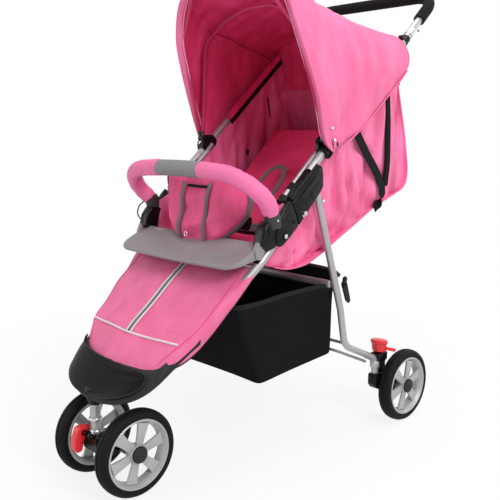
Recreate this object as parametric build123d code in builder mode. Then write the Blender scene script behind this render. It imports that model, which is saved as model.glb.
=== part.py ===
from build123d import *
import os
from math import cos, radians, sin, tan

# A three-wheeled baby stroller, in millimetres. +Z is up, the front is towards -Y and +X is
# the child's left. The origin is on the floor, under the middle of the whole stroller.

os.makedirs("parts", exist_ok=True)

# --- driving dimensions ---
WHEEL_RADIUS = 89
TYRE_WIDTH = 32
TYRE_DEPTH = 18
FRONT_AXLE_Y = -384
REAR_AXLE_Y = 316
TWIN_SPACING = 149        # between the middles of the two front wheels
REAR_TRACK = 458          # between the middles of the two rear wheels
STEM_Y = -426             # swivel axis of the front caster, ahead of its axle
FRAME_X = 195             # middle of the side tubes
TUBE = 18                 # handle and front tubes
TUBE_WALL = 1.5
LEG_TUBE = 16
GRIP = 28
HANDLE_TILT = 41.3        # slope of the handle tubes above the horizontal
HANDLE_END_Y = 459
GAP = 0.3                 # running clearance

KNEE = (-44, 548)         # Y, Z of the joint between front tubes and handle
LEG_PIVOT = (9, 598)      # rear legs on the side hinge
BUMPER_PIVOT = (-131, 538)
CANOPY_PIVOT = (30, 697)
BACK_PIVOT = (18, 462)
PEDAL_PIVOT = (275, 191)
CATCH_PIVOT = (101, 372)
SWIVEL_LOCK_PIVOT = (-446, 122)

HANDLE_SLOPE = tan(radians(HANDLE_TILT))


def handle_z(y):
    """Height of the handle tube's middle line at a given Y."""
    return 656 + HANDLE_SLOPE * (y - 15)


def save(part, name):
    """Label a finished piece and write it as one STEP file."""
    part.label = name
    export_step(part, f"parts/{name}.step")


def tube(points, bend, diameter, bore=0):
    """A round tube or rod along straight runs joined by tangent bends."""
    with BuildPart() as bent:
        with BuildLine() as path:
            if len(points) > 2:
                FilletPolyline(*points, radius=bend)
            else:
                Line(*points)
        with BuildSketch(Plane(origin=path.line @ 0, z_dir=path.line % 0)):
            Circle(diameter / 2)
            if bore:
                Circle(bore / 2, mode=Mode.SUBTRACT)
        sweep()
    return bent.part


def side_plate(points, x0, x1, rounding=0):
    """A flat piece cut to a Y, Z outline, from x0 to x1."""
    with BuildPart() as plate:
        with BuildSketch(Plane.YZ.offset(min(x0, x1))):
            with BuildLine():
                Polyline(*points, close=True)
            make_face()
            if rounding:
                fillet(vertices(), rounding)
        extrude(amount=abs(x1 - x0))
    return plate.part


def pin(y, z, x0, x1, diameter):
    """A round pin across the stroller, from x0 to x1."""
    with BuildPart() as rod:
        with BuildSketch(Plane.YZ.offset(min(x0, x1))):
            with Locations((y, z)):
                Circle(diameter / 2)
        extrude(amount=abs(x1 - x0))
    return rod.part


def side_of(x):
    """Names follow the child's own left and right."""
    return "left" if x > 0 else "right"


# --- wheels ---
RIM_RADIUS = WHEEL_RADIUS - TYRE_DEPTH
HUB_RADIUS = 16
AXLE = 8
SPOKES = 6


def wheel(name, x, y):
    """A foam tyre, a six-spoke rim and a hub cap, turning on an axle along X."""
    out = 1 if x > 0 else -1
    middle = Plane(origin=(x, y, WHEEL_RADIUS), x_dir=(0, 1, 0), z_dir=(out, 0, 0))
    across = Plane(origin=(x, y, WHEEL_RADIUS), x_dir=(out, 0, 0), z_dir=(0, -out, 0))
    half = TYRE_WIDTH / 2
    spin_axis = Axis((x, y, WHEEL_RADIUS), (1, 0, 0))

    with BuildPart() as tyre:
        with BuildSketch(across):
            with BuildLine():
                Polyline(
                    (-half + 2, RIM_RADIUS), (half - 2, RIM_RADIUS), (half, RIM_RADIUS + 7),
                    (half - 5, WHEEL_RADIUS - 3), (half - 10, WHEEL_RADIUS),
                    (10 - half, WHEEL_RADIUS), (5 - half, WHEEL_RADIUS - 3), (-half, RIM_RADIUS + 7),
                    close=True)
            make_face()
        revolve(axis=spin_axis)
    save(tyre.part, name + "_tyre")

    with BuildPart() as rim:
        with BuildSketch(across):
            with BuildLine():
                Polyline(
                    (-half + 2, RIM_RADIUS), (half - 1, RIM_RADIUS), (half - 1, RIM_RADIUS - 3),
                    (half - 9, RIM_RADIUS - 10), (-half + 4, RIM_RADIUS - 8), close=True)
            make_face()
            with Locations((1, (HUB_RADIUS + AXLE / 2 + GAP) / 2)):
                Rectangle(TYRE_WIDTH - 2, HUB_RADIUS - AXLE / 2 - GAP)
        revolve(axis=spin_axis)
        with BuildSketch(middle.offset(-2)):
            with PolarLocations(0, SPOKES, start_angle=20):
                with BuildLine():
                    Polyline((HUB_RADIUS - 2, -8), (RIM_RADIUS - 8, -12), (RIM_RADIUS - 8, 12),
                             (HUB_RADIUS - 2, 8), close=True)
                make_face()
        extrude(amount=8)
    save(rim.part, name + "_rim")

    with BuildPart() as cap:
        with BuildSketch(across):
            with BuildLine():
                Polyline((half, 0), (half, HUB_RADIUS - 1), (half + 3, HUB_RADIUS - 2),
                         (half + 6, HUB_RADIUS - 7), (half + 6.5, 0), close=True)
            make_face()
        revolve(axis=spin_axis)
    save(cap.part, name + "_cap")


for side in (1, -1):
    wheel(f"front_{side_of(side)}_wheel", side * TWIN_SPACING / 2, FRONT_AXLE_Y)
    wheel(f"rear_{side_of(side)}_wheel", side * REAR_TRACK / 2, REAR_AXLE_Y)

# --- front caster ---
STEM = 21
KINGPIN = 12
KINGPIN_REACH = 28
STEM_FOOT = 118
SOCKET_FOOT = 182
BLOCK_HALF = 24

with BuildPart() as caster_stem:
    with BuildSketch(Plane.XY.offset(STEM_FOOT)):
        with Locations((0, STEM_Y)):
            Circle(STEM / 2)
    extrude(amount=SOCKET_FOOT - GAP - STEM_FOOT)
    with BuildSketch(Plane.XY.offset(SOCKET_FOOT - GAP)):
        with Locations((0, STEM_Y)):
            Circle(KINGPIN / 2)
    extrude(amount=KINGPIN_REACH)
    with BuildSketch(Plane.XY.offset(150)):
        with Locations((0, STEM_Y)):
            Circle(STEM / 2 + 1.5)
    extrude(amount=4)
save(caster_stem.part, "caster_stem")

block_top = STEM_FOOT
with BuildPart() as caster_block:
    with BuildSketch(Plane.YZ.offset(-BLOCK_HALF)):
        with BuildLine():
            Polyline((STEM_Y - 17, block_top), (STEM_Y + 17, block_top),
                     (FRONT_AXLE_Y + 16, WHEEL_RADIUS + 14), (FRONT_AXLE_Y + 17, WHEEL_RADIUS - 12),
                     (FRONT_AXLE_Y - 12, WHEEL_RADIUS - 17), (STEM_Y - 14, WHEEL_RADIUS - 4),
                     close=True)
        make_face()
        fillet(vertices(), 5)
    extrude(amount=2 * BLOCK_HALF)
    with BuildSketch(Plane.YZ.offset(-BLOCK_HALF)):
        with Locations((FRONT_AXLE_Y, WHEEL_RADIUS)):
            Circle(AXLE / 2)
    extrude(amount=2 * BLOCK_HALF, mode=Mode.SUBTRACT)
    with BuildSketch(Plane.YZ.offset(BLOCK_HALF)):
        with Locations((FRONT_AXLE_Y, WHEEL_RADIUS)):
            Circle(13)
            Circle(AXLE / 2, mode=Mode.SUBTRACT)
    axle_boss = TWIN_SPACING / 2 - TYRE_WIDTH / 2 - BLOCK_HALF - GAP
    extrude(amount=axle_boss)
    mirror(about=Plane.YZ)
    with BuildSketch(Plane.YZ.offset(-14)):
        with Locations(SWIVEL_LOCK_PIVOT):
            Circle(6)
            Circle(2.5, mode=Mode.SUBTRACT)
        with Locations((SWIVEL_LOCK_PIVOT[0] + 7, SWIVEL_LOCK_PIVOT[1] - 4)):
            Rectangle(8, 8)
        with Locations(SWIVEL_LOCK_PIVOT):
            Circle(2.5, mode=Mode.SUBTRACT)
    extrude(amount=4)
    with BuildSketch(Plane.YZ.offset(10)):
        with Locations(SWIVEL_LOCK_PIVOT):
            Circle(6)
        with Locations((SWIVEL_LOCK_PIVOT[0] + 7, SWIVEL_LOCK_PIVOT[1] - 4)):
            Rectangle(8, 8)
        with Locations(SWIVEL_LOCK_PIVOT):
            Circle(2.5, mode=Mode.SUBTRACT)
    extrude(amount=4)
save(caster_block.part, "caster_block")

axle_reach = TWIN_SPACING / 2 + TYRE_WIDTH / 2
save(pin(FRONT_AXLE_Y, WHEEL_RADIUS, -axle_reach, axle_reach, AXLE), "front_axle")

with BuildPart() as swivel_lock:
    with BuildSketch(Plane.YZ.offset(-9.5)):
        with BuildLine():
            Polyline((-452, 124), (-444, 127), (-444, 114), (-451, 84), (-459, 80), (-463, 86),
                     close=True)
        make_face()
        fillet(vertices(), 1.8)
    extrude(amount=19)
    with BuildSketch(Plane.YZ.offset(-14)):
        with Locations(SWIVEL_LOCK_PIVOT):
            Circle(2.5 - GAP)
    extrude(amount=28)
save(swivel_lock.part, "swivel_lock_lever")

# --- front tubes, nose and caster socket ---
NOSE_TILT = 29            # slope of the nose's top
NOSE_RADIUS = 142
FRONT_RUN = [(FRAME_X, -84, 524), (FRAME_X - 2, -150, 458), (127, -327, 266), (40, -414, 214)]
front_tubes = {}
for side in (1, -1):
    run = [(side * x, y, z) for x, y, z in FRONT_RUN]
    front_tubes[side] = tube(run, 45, TUBE)
    save(tube(run, 45, TUBE, TUBE - 2 * TUBE_WALL), f"front_tube_{side_of(side)}")

with BuildPart() as caster_socket:
    with BuildSketch(Plane.XY.offset(SOCKET_FOOT)):
        with Locations((0, STEM_Y)):
            Circle(13)
    with BuildSketch(Plane.XY.offset(SOCKET_FOOT + 20)):
        with Locations((0, STEM_Y)):
            Circle(19)
    loft()
    with BuildSketch(Plane.XY.offset(SOCKET_FOOT + 20)):
        with Locations((0, STEM_Y)):
            Circle(19)
    extrude(amount=14)
    with BuildSketch(Plane.XY.offset(SOCKET_FOOT + 20)):
        with Locations((0, STEM_Y + 14)):
            Rectangle(116, 30)
    extrude(amount=20)
    for side in (1, -1):
        add(front_tubes[side], mode=Mode.SUBTRACT)
    with BuildSketch(Plane.XY.offset(SOCKET_FOOT)):
        with Locations((0, STEM_Y)):
            Circle(KINGPIN / 2 + GAP)
    extrude(amount=KINGPIN_REACH + GAP, mode=Mode.SUBTRACT)
socket_body = caster_socket.part.solids().sort_by(SortBy.VOLUME)[-1]
save(Part() + socket_body, "caster_socket")

# the nose is a rounded shoe on a sloping plane: its X runs across, its Y up the slope
nose_top = Plane(origin=(0, -354, 274), x_dir=(1, 0, 0),
                 z_dir=(0, -sin(radians(NOSE_TILT)), cos(radians(NOSE_TILT))))


def nose_outline(inset):
    """The D-shaped outline of the nose, drawn in by inset."""
    reach = NOSE_RADIUS - inset
    with BuildSketch() as outline:
        with BuildLine():
            ThreePointArc((-reach, 18), (0, 18 - reach), (reach, 18))
            Polyline((reach, 18), (reach + 4, 34), (-reach - 4, 34), (-reach, 18))
        make_face()
    return outline.sketch


with BuildPart() as nose_cover:
    with BuildSketch(nose_top):
        add(nose_outline(14))
    with BuildSketch(nose_top.offset(-16)):
        add(nose_outline(0))
    with BuildSketch(nose_top.offset(-38)):
        add(nose_outline(1))
    loft(ruled=True)
    with BuildSketch(nose_top.offset(-3)):
        add(nose_outline(18))
    with BuildSketch(nose_top.offset(-16)):
        add(nose_outline(4))
    with BuildSketch(nose_top.offset(-39)):
        add(nose_outline(4))
    loft(ruled=True, mode=Mode.SUBTRACT)
    # the back is open where the tubes and the leg cover run in
    with BuildSketch(nose_top.offset(-60)):
        with Locations((0, 50)):
            Rectangle(4 * NOSE_RADIUS, 44)
    extrude(amount=57, mode=Mode.SUBTRACT)
    for side in (1, -1):
        add(front_tubes[side], mode=Mode.SUBTRACT)
save(nose_cover.part, "nose_cover")

with BuildPart() as nose_panel:
    with BuildSketch(nose_top):
        add(nose_outline(34))
    extrude(amount=2.5)
save(nose_panel.part, "nose_panel")

# --- side hinges ---
COVER_IN = 204.5          # inner face of the lower cover, just outside the tubes
COVER_MID = 209
COVER_OUT = 214
LOWER_COVER = [(-119, 488), (-103, 483), (-58, 520), (-24, 534), (22, 586), (22, 606), (6, 612),
               (-30, 584), (-60, 574), (-84, 566), (-105, 545), (-115, 520)]
LOWER_PAD = [(-119, 488), (-103, 483), (-72, 509), (-76, 540), (-84, 566), (-105, 545), (-115, 520)]
UPPER_COVER = [(-66, 552), (-58, 532), (-44, 523), (-24, 528), (-4, 545), (20, 572), (23, 604), (20, 640),
               (13, 650), (4, 645), (-28, 612), (-58, 582)]
KNEE_PIN = 10
lower_covers = {}
for side in (1, -1):
    with BuildPart() as lower:
        add(side_plate(LOWER_COVER, side * COVER_IN, side * COVER_MID, 3))
        add(side_plate(LOWER_PAD, side * COVER_MID, side * COVER_OUT, 3))
        # the wall that wraps the front tube and reaches in to the bumper bracket
        add(side_plate([(-119, 488), (-112, 486), (-96, 550), (-105, 546), (-115, 520)],
                       side * 182, side * COVER_IN, 0))
        add(pin(*KNEE, side * 180, side * (COVER_OUT + 2), KNEE_PIN), mode=Mode.SUBTRACT)
        add(pin(*LEG_PIVOT, side * 180, side * COVER_MID, KNEE_PIN), mode=Mode.SUBTRACT)
        add(front_tubes[side], mode=Mode.SUBTRACT)
    save(lower.part, f"hinge_cover_lower_{side_of(side)}")
    with BuildPart() as upper:
        add(side_plate(UPPER_COVER, side * (COVER_MID + GAP), side * COVER_OUT, 3))
        add(side_plate([(-26, 608), (-22, 606), (6, 631), (14, 648), (10, 649), (4, 645)],
                       side * 186, side * (COVER_MID + GAP), 0))
        add(pin(*KNEE, side * 180, side * (COVER_OUT + 2), KNEE_PIN + 2 * GAP), mode=Mode.SUBTRACT)
        add(tube([(side * FRAME_X, -15, handle_z(-15)), (side * FRAME_X, 60, handle_z(60))], 0, TUBE),
            mode=Mode.SUBTRACT)
    save(upper.part, f"hinge_cover_upper_{side_of(side)}")
    lower_covers[side] = lower.part

with BuildPart() as knee_plates:
    # a steel plate on each inner side joins the front tube to the knee and the leg pivot
    add(side_plate([(-100, 520), (-86, 506), (-40, 528), (20, 586), (20, 606), (2, 610), (-52, 566)],
                   180, 184, 4))
    add(pin(*KNEE, 170, 190, KNEE_PIN), mode=Mode.SUBTRACT)
    add(pin(*LEG_PIVOT, 170, 190, KNEE_PIN), mode=Mode.SUBTRACT)
    mirror(about=Plane.YZ)
save(knee_plates.part, "knee_plates")

with BuildPart() as knee_pins:
    add(pin(*KNEE, 180, COVER_OUT + 1.5, KNEE_PIN))
    mirror(about=Plane.YZ)
save(knee_pins.part, "knee_pins")

with BuildPart() as leg_pins:
    add(pin(*LEG_PIVOT, 180, COVER_MID - GAP, KNEE_PIN))
    mirror(about=Plane.YZ)
save(leg_pins.part, "leg_pins")

# --- bumper bar ---
BUMPER_CORE = 16
BUMPER_SLEEVE = 36
BUMPER_HALF = 196
BUMPER_REACH = 131
BUMPER_CENTRE = 60        # half the length of the grey middle section
bumper_plane = Plane(origin=(0, *BUMPER_PIVOT), x_dir=(1, 0, 0), z_dir=(0, -0.776, -0.631))
bumper_run = [bumper_plane.from_local_coords((x, s, 0)) for x, s in
              [(BUMPER_HALF, 0), (246, BUMPER_REACH), (-246, BUMPER_REACH), (-BUMPER_HALF, 0)]]

with BuildPart() as bumper_bar:
    add(tube(bumper_run, 85, BUMPER_CORE))
    add(pin(*BUMPER_PIVOT, BUMPER_HALF - 8, BUMPER_HALF + 16, 18))
    add(pin(*BUMPER_PIVOT, -BUMPER_HALF - 16, 8 - BUMPER_HALF, 18))
    add(pin(*BUMPER_PIVOT, -230, 230, 8 + 2 * GAP), mode=Mode.SUBTRACT)
save(bumper_bar.part, "bumper_bar")

with BuildPart() as bumper_foam:
    add(tube(bumper_run, 85, BUMPER_SLEEVE, BUMPER_CORE))
    with BuildSketch(bumper_plane.offset(-60)):
        with Locations((0, -30)):
            Rectangle(700, 116)
    extrude(amount=120, mode=Mode.SUBTRACT)
with BuildPart() as bumper_middle:
    add(bumper_foam.part)
    split(bisect_by=Plane.YZ.offset(BUMPER_CENTRE), keep=Keep.BOTTOM)
    split(bisect_by=Plane.YZ.offset(-BUMPER_CENTRE), keep=Keep.TOP)
save(bumper_middle.part, "bumper_middle_grip")
with BuildPart() as bumper_sleeves:
    add(bumper_foam.part)
    split(bisect_by=Plane.YZ.offset(BUMPER_CENTRE), keep=Keep.TOP)
    mirror(about=Plane.YZ)
save(bumper_sleeves.part, "bumper_sleeves")

BRACKET = [(-152, 526), (-130, 500), (-108, 500), (-106, 545), (-124, 556), (-146, 552)]
with BuildPart() as bumper_brackets:
    for side in (1, -1):
        add(side_plate(BRACKET, side * 180, side * 187.5, 4))
        add(side_plate(BRACKET, side * 212.4, side * 216, 4))
        add(side_plate([(-144, 517), (-119.5, 517), (-119.5, 498), (-132, 498)], side * 180, side * 216, 2))
        add(pin(*BUMPER_PIVOT, side * 180, side * 217, 8))
        add(lower_covers[side], mode=Mode.SUBTRACT)
        add(front_tubes[side], mode=Mode.SUBTRACT)
save(bumper_brackets.part, "bumper_brackets")

# --- seat front bar and the grey tray in front of the seat ---
SEAT_BAR = (-142, 466)
with BuildPart() as seat_front_bar:
    add(pin(*SEAT_BAR, -FRAME_X, FRAME_X, 14))
    for side in (1, -1):
        add(front_tubes[side], mode=Mode.SUBTRACT)
bar_body = seat_front_bar.part.solids().sort_by(SortBy.VOLUME)[-1]
save(Part() + bar_body, "seat_front_bar")

TRAY_TILT = 25.5
TRAY_HALF = 196
TRAY_DEPTH = 93
TRAY_CORNER = 24
tray_plane = Plane(origin=(0, -148, 495), x_dir=(1, 0, 0),
                   z_dir=(0, -sin(radians(TRAY_TILT)), cos(radians(TRAY_TILT))))


def tray_outline(inset):
    """Plan of the tray: straight back, rounded front corners."""
    with BuildSketch() as plan:
        with Locations((0, -TRAY_DEPTH / 2)):
            Rectangle(2 * (TRAY_HALF - inset), TRAY_DEPTH - 2 * inset)
        fillet(plan.vertices().group_by(Axis.Y)[0], TRAY_CORNER - inset)
    return plan.sketch


with BuildPart() as seat_tray:
    with BuildSketch(tray_plane.offset(-16)):
        add(tray_outline(0))
    extrude(amount=16)
    with BuildSketch(tray_plane.offset(-16)):
        add(tray_outline(3))
        with Locations((0, 0)):
            Rectangle(2 * TRAY_HALF - 6, 20)
    extrude(amount=12, mode=Mode.SUBTRACT)
    for x in (-118, 110):
        add(side_plate([(-172, 481), (-149, 492), (-142, 480), (-140, 468), (-150, 462)], x, x + 8))
    add(pin(*SEAT_BAR, -200, 200, 14), mode=Mode.SUBTRACT)
    for side in (1, -1):
        add(front_tubes[side], mode=Mode.SUBTRACT)
save(seat_tray.part, "seat_tray")

# --- handle ---
CORNER = 60
handle_run = [(FRAME_X, -12, handle_z(-12)), (FRAME_X, HANDLE_END_Y, handle_z(HANDLE_END_Y)),
              (-FRAME_X, HANDLE_END_Y, handle_z(HANDLE_END_Y)), (-FRAME_X, -12, handle_z(-12))]
save(tube(handle_run, CORNER, TUBE, TUBE - 2 * TUBE_WALL), "handle_tube")
GRIP_Y = HANDLE_END_Y - 76
grip_run = [(FRAME_X, GRIP_Y, handle_z(GRIP_Y)), handle_run[1], handle_run[2],
            (-FRAME_X, GRIP_Y, handle_z(GRIP_Y))]
save(tube(grip_run, CORNER, GRIP, TUBE), "handle_grip")

SIDE_TUBE = 11
SIDE_TUBE_X = 176
with BuildPart() as seat_side_tubes:
    add(tube([(SIDE_TUBE_X, -72, 578), (SIDE_TUBE_X, 26, 664), (SIDE_TUBE_X + 4, 46, 682)], 14, SIDE_TUBE))
    mirror(about=Plane.YZ)
save(seat_side_tubes.part, "seat_side_tubes")

# --- canopy ---
HOOP = 7
HOOP_EYE = 7
FRONT_LEAN = 17           # front hoop, ahead of the vertical
MIDDLE_LEAN = 0
CLOTH = 4


def hoop_plane(lean):
    """The plane of a hoop: X runs across and Y from the pivot to the crown."""
    return Plane(origin=(0, *CANOPY_PIVOT), x_dir=(1, 0, 0),
                 z_dir=(0, -cos(radians(lean)), -sin(radians(lean))))


def hoop(lean, outline, bend):
    """A bent rod from one pivot eye over to the other."""
    plane = hoop_plane(lean)
    half = [plane.from_local_coords((x, up, 0)) for x, up in outline]
    other = [plane.from_local_coords((-x, up, 0)) for x, up in reversed(outline)]
    foot = outline[0][0]
    with BuildPart() as bow:
        add(tube(half + other, bend, HOOP))
        add(pin(*CANOPY_PIVOT, foot - 3, foot + 3, 2 * HOOP_EYE))
        add(pin(*CANOPY_PIVOT, -foot - 3, 3 - foot, 2 * HOOP_EYE))
        add(pin(*CANOPY_PIVOT, -230, 230, 8 + 2 * GAP), mode=Mode.SUBTRACT)
    return bow.part


FRONT_HOOP = [(205, 4), (182, 236), (106, 346), (36, 364)]
MIDDLE_HOOP = [(195.5, 4), (184, 228), (110, 275), (36, 296)]
save(hoop(FRONT_LEAN, FRONT_HOOP, 60), "canopy_front_hoop")
save(hoop(MIDDLE_LEAN, MIDDLE_HOOP, 45), "canopy_middle_hoop")

clip_tilt = radians(HANDLE_TILT)
CLIP = [(-22, -13), (24, -13), (24, 13), (8, 13), (6, 27), (-8, 29), (-14, 20), (-22, 13)]
clip_points = [(CANOPY_PIVOT[0] + 14 + a * cos(clip_tilt) - b * sin(clip_tilt),
                handle_z(CANOPY_PIVOT[0] + 14) + a * sin(clip_tilt) + b * cos(clip_tilt)) for a, b in CLIP]
CLAMP = [(-22, -13), (24, -13), (24, 13), (-22, 13)]
clamp_points = [(CANOPY_PIVOT[0] + 14 + a * cos(clip_tilt) - b * sin(clip_tilt),
                 handle_z(CANOPY_PIVOT[0] + 14) + a * sin(clip_tilt) + b * cos(clip_tilt)) for a, b in CLAMP]
with BuildPart() as canopy_clips:
    add(side_plate(clip_points, 184, 191.5, 2))
    add(side_plate(clamp_points, 184, 207, 2))
    add(pin(*CANOPY_PIVOT, 184, 210, 8))
    add(tube([handle_run[0], (FRAME_X, 120, handle_z(120))], 0, TUBE), mode=Mode.SUBTRACT)
    add(tube([(SIDE_TUBE_X, 26, 664), (SIDE_TUBE_X + 4, 46, 682)], 0, SIDE_TUBE), mode=Mode.SUBTRACT)
    mirror(about=Plane.YZ)
save(canopy_clips.part, "canopy_clips")

# the canopy cloth: half outlines (x, height) of its cross sections, from foot to crown, front to back
CANOPY_FRONT = [(217, 8), (215, 70), (212, 118), (204, 192), (195, 248), (172, 312), (120, 364), (54, 384)]
CANOPY_MIDDLE = [(217, -12), (216, 110), (211, 172), (204, 212), (192, 250), (166, 286), (120, 313), (58, 326)]
CANOPY_THIRD = [(213, 706), (215, 800), (211, 882), (203, 914), (188, 942), (160, 968), (115, 990), (56, 1002)]
CANOPY_REAR = [(214, 842), (216, 868), (213, 893), (207, 913), (188, 935), (156, 944), (112, 952), (56, 957)]
CANOPY_BACK = 306


def canopy_arch(half_outline, inset=0, drop=0):
    """A closed arch; inset draws it in by the cloth's thickness and drop lowers its foot."""
    right = [(x - inset, up - inset) for x, up in half_outline]
    right[0] = (right[0][0], right[0][1] - drop)
    left = [(-x, up) for x, up in reversed(right)]
    with BuildSketch() as arch:
        with BuildLine():
            Polyline(*right, *left, close=True)
        make_face()
    return arch.sketch


def upright(y):
    """A vertical plane across the stroller at a given Y, with heights from the floor."""
    return Plane(origin=(0, y, 0), x_dir=(1, 0, 0), z_dir=(0, -1, 0))


with BuildPart() as canopy:
    front_plane = hoop_plane(FRONT_LEAN).offset(11)
    middle_plane = hoop_plane(MIDDLE_LEAN)
    for planes, inset, drop in (((front_plane, middle_plane, upright(112), upright(CANOPY_BACK)), 0, 0),
                                ((front_plane.offset(1), middle_plane, upright(112), upright(CANOPY_BACK + 1)), CLOTH, 40)):
        for ahead, behind, first, second in zip(planes, planes[1:],
                                                (CANOPY_FRONT, CANOPY_MIDDLE, CANOPY_THIRD),
                                                (CANOPY_MIDDLE, CANOPY_THIRD, CANOPY_REAR)):
            with BuildSketch(ahead):
                add(canopy_arch(first, inset, drop))
            with BuildSketch(behind):
                add(canopy_arch(second, inset, drop))
            loft(ruled=True, mode=Mode.SUBTRACT if inset else Mode.ADD)
    for side in (1, -1):
        add(tube([(side * FRAME_X, 100, handle_z(100)), (side * FRAME_X, 330, handle_z(330))], 0, TUBE + 1),
            mode=Mode.SUBTRACT)
save(canopy.part, "canopy_cloth")

# --- seat: hanging tub, board, cushions, harness ---
TUB = [(-126, 486), (-126, 447), (-63, 429), (8, 433), (60, 453), (102, 475), (229, 535), (328, 568),
       (367, 588), (368, 625), (357, 694), (338, 761), (315, 835), (300, handle_z(300) - 22),
       (-96, handle_z(-96) - 24)]
# the tub's half plan: narrow between the hinges, wide behind the rear legs
TUB_PLAN = [(172, -130), (172, 20), (183, 72), (188, 110), (189, 340), (180, 372)]


def tub_width(inset):
    """An upright prism that trims the tub to its plan."""
    half = [(x - inset, y) for x, y in TUB_PLAN]
    with BuildPart() as prism:
        with BuildSketch():
            with BuildLine():
                Polyline(*half, *[(-x, y) for x, y in reversed(half)], close=True)
            make_face()
        extrude(amount=1000)
    return prism.part


with BuildPart() as tub_space:
    with BuildSketch(Plane.YZ.offset(-200)):
        with BuildLine():
            Polyline(*TUB, close=True)
        make_face()
        offset(amount=-CLOTH, kind=Kind.INTERSECTION)
    extrude(amount=400)
    add(tub_width(CLOTH), mode=Mode.INTERSECT)
with BuildPart() as seat_tub:
    add(side_plate(TUB, -200, 200))
    add(tub_width(0), mode=Mode.INTERSECT)
    add(tub_space.part, mode=Mode.SUBTRACT)
    # open at the top and at the front, where the child sits down
    add(tub_space.part.moved(Location((0, -14, 14))), mode=Mode.SUBTRACT)
save(seat_tub.part, "seat_tub")

SEAT_HALF = 158
save(side_plate([(-118, 452), (-118, 457), (0, 447), (0, 442)], -SEAT_HALF, SEAT_HALF), "seat_board")
save(side_plate([(-119, 458), (-121, 490), (-100, 496), (-8, 474), (-8, 449)], -SEAT_HALF, SEAT_HALF, 5),
     "seat_pad")

BACK_TILT = 43
BACK_LENGTH = 350


def back_slab(s0, s1, n0, n1, half, rounding=0):
    """A slab of the backrest: s along its length from the pivot, n out of its face."""
    a = radians(BACK_TILT)
    corners = [(BACK_PIVOT[0] + s * cos(a) - n * sin(a), BACK_PIVOT[1] + s * sin(a) + n * cos(a))
               for s, n in [(s0, n0), (s1, n0), (s1, n1), (s0, n1)]]
    return side_plate(corners, -half, half, rounding)


with BuildPart() as back_board:
    add(back_slab(0, BACK_LENGTH, -3, 3, SEAT_HALF, 2.5))
    add(pin(*BACK_PIVOT, -SEAT_HALF, SEAT_HALF, 8))
save(back_board.part, "backrest_board")
save(back_slab(14, BACK_LENGTH, 3, 30, SEAT_HALF, 8), "backrest_pad")

with BuildPart() as harness:
    for x in (-52, 30):
        add(back_slab(60, 240, 30, 32.5, 11).moved(Location((x + 11, 0, 0))))
    add(back_slab(222, 240, 30, 32.5, 52))
save(harness.part, "harness")

with BuildPart() as crotch_panel:
    with BuildSketch(Plane.XZ.offset(148)):
        with BuildLine():
            Polyline((-55, 499), (55, 499), (105, 540), (105, 612), (-105, 612), (-105, 540), close=True)
        make_face()
        fillet(vertices(), 14)
    extrude(amount=14)
save(crotch_panel.part, "crotch_panel")

# --- leg cover: a crowned cloth apron with side walls, over the front tubes ---
# rows from the tray to the nose: middle Y, Z, half width, edge Y, Z and the depth of the side wall
COVER_ROWS = [(-176, 446, 191, -176, 440, 20), (-245, 396, 176, -245, 381, 40), (-331, 322, 154, -323, 316, 46),
              (-375, 272, 138, -352, 275, 16)]
COVER_CLOTH = 3
with BuildPart() as leg_cover:
    for first, second in zip(COVER_ROWS, COVER_ROWS[1:]):
        for inset in (0, COVER_CLOTH):
            for y_middle, z_middle, half, y_edge, z_edge, wall in (first, second):
                with BuildSketch(Plane(origin=(0, y_edge, z_edge), x_dir=(1, 0, 0), z_dir=(0, -1, 0))):
                    with BuildLine():
                        Polyline((half - 6 - inset, -wall - inset), (half - inset, -6), (half - 8 - inset, -inset),
                                 (half * 0.5, (z_middle - z_edge) * 0.75 - inset), (-half * 0.5, (z_middle - z_edge) * 0.75 - inset),
                                 (8 - half + inset, -inset), (inset - half, -6), (6 - half + inset, -wall - inset), close=True)
                    make_face()
            loft(ruled=True, mode=Mode.SUBTRACT if inset else Mode.ADD)
    for side in (1, -1):
        add(front_tubes[side], mode=Mode.SUBTRACT)
    add(nose_cover.part, mode=Mode.SUBTRACT)
    add(nose_panel.part, mode=Mode.SUBTRACT)
cover_body = leg_cover.part.solids().sort_by(SortBy.VOLUME)[-1]
save(Part() + cover_body, "leg_cover")

# --- basket ---
BASKET_TOP = 372
BASKET_FLOOR = 188
with BuildPart() as basket:
    with BuildSketch(Plane.XY.offset(BASKET_TOP)):
        with Locations((0, -63)):
            Rectangle(350, 266)
        fillet(vertices(), 20)
    with BuildSketch(Plane.XY.offset(BASKET_FLOOR)):
        with Locations((0, -12)):
            Rectangle(316, 232)
        fillet(vertices(), 20)
    loft()
    with BuildSketch(Plane.XY.offset(BASKET_TOP + 1)):
        with Locations((0, -63)):
            Rectangle(344, 260)
        fillet(vertices(), 18)
    with BuildSketch(Plane.XY.offset(BASKET_FLOOR + 4)):
        with Locations((0, -12)):
            Rectangle(310, 226)
        fillet(vertices(), 18)
    loft(mode=Mode.SUBTRACT)
save(basket.part, "basket")

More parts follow.
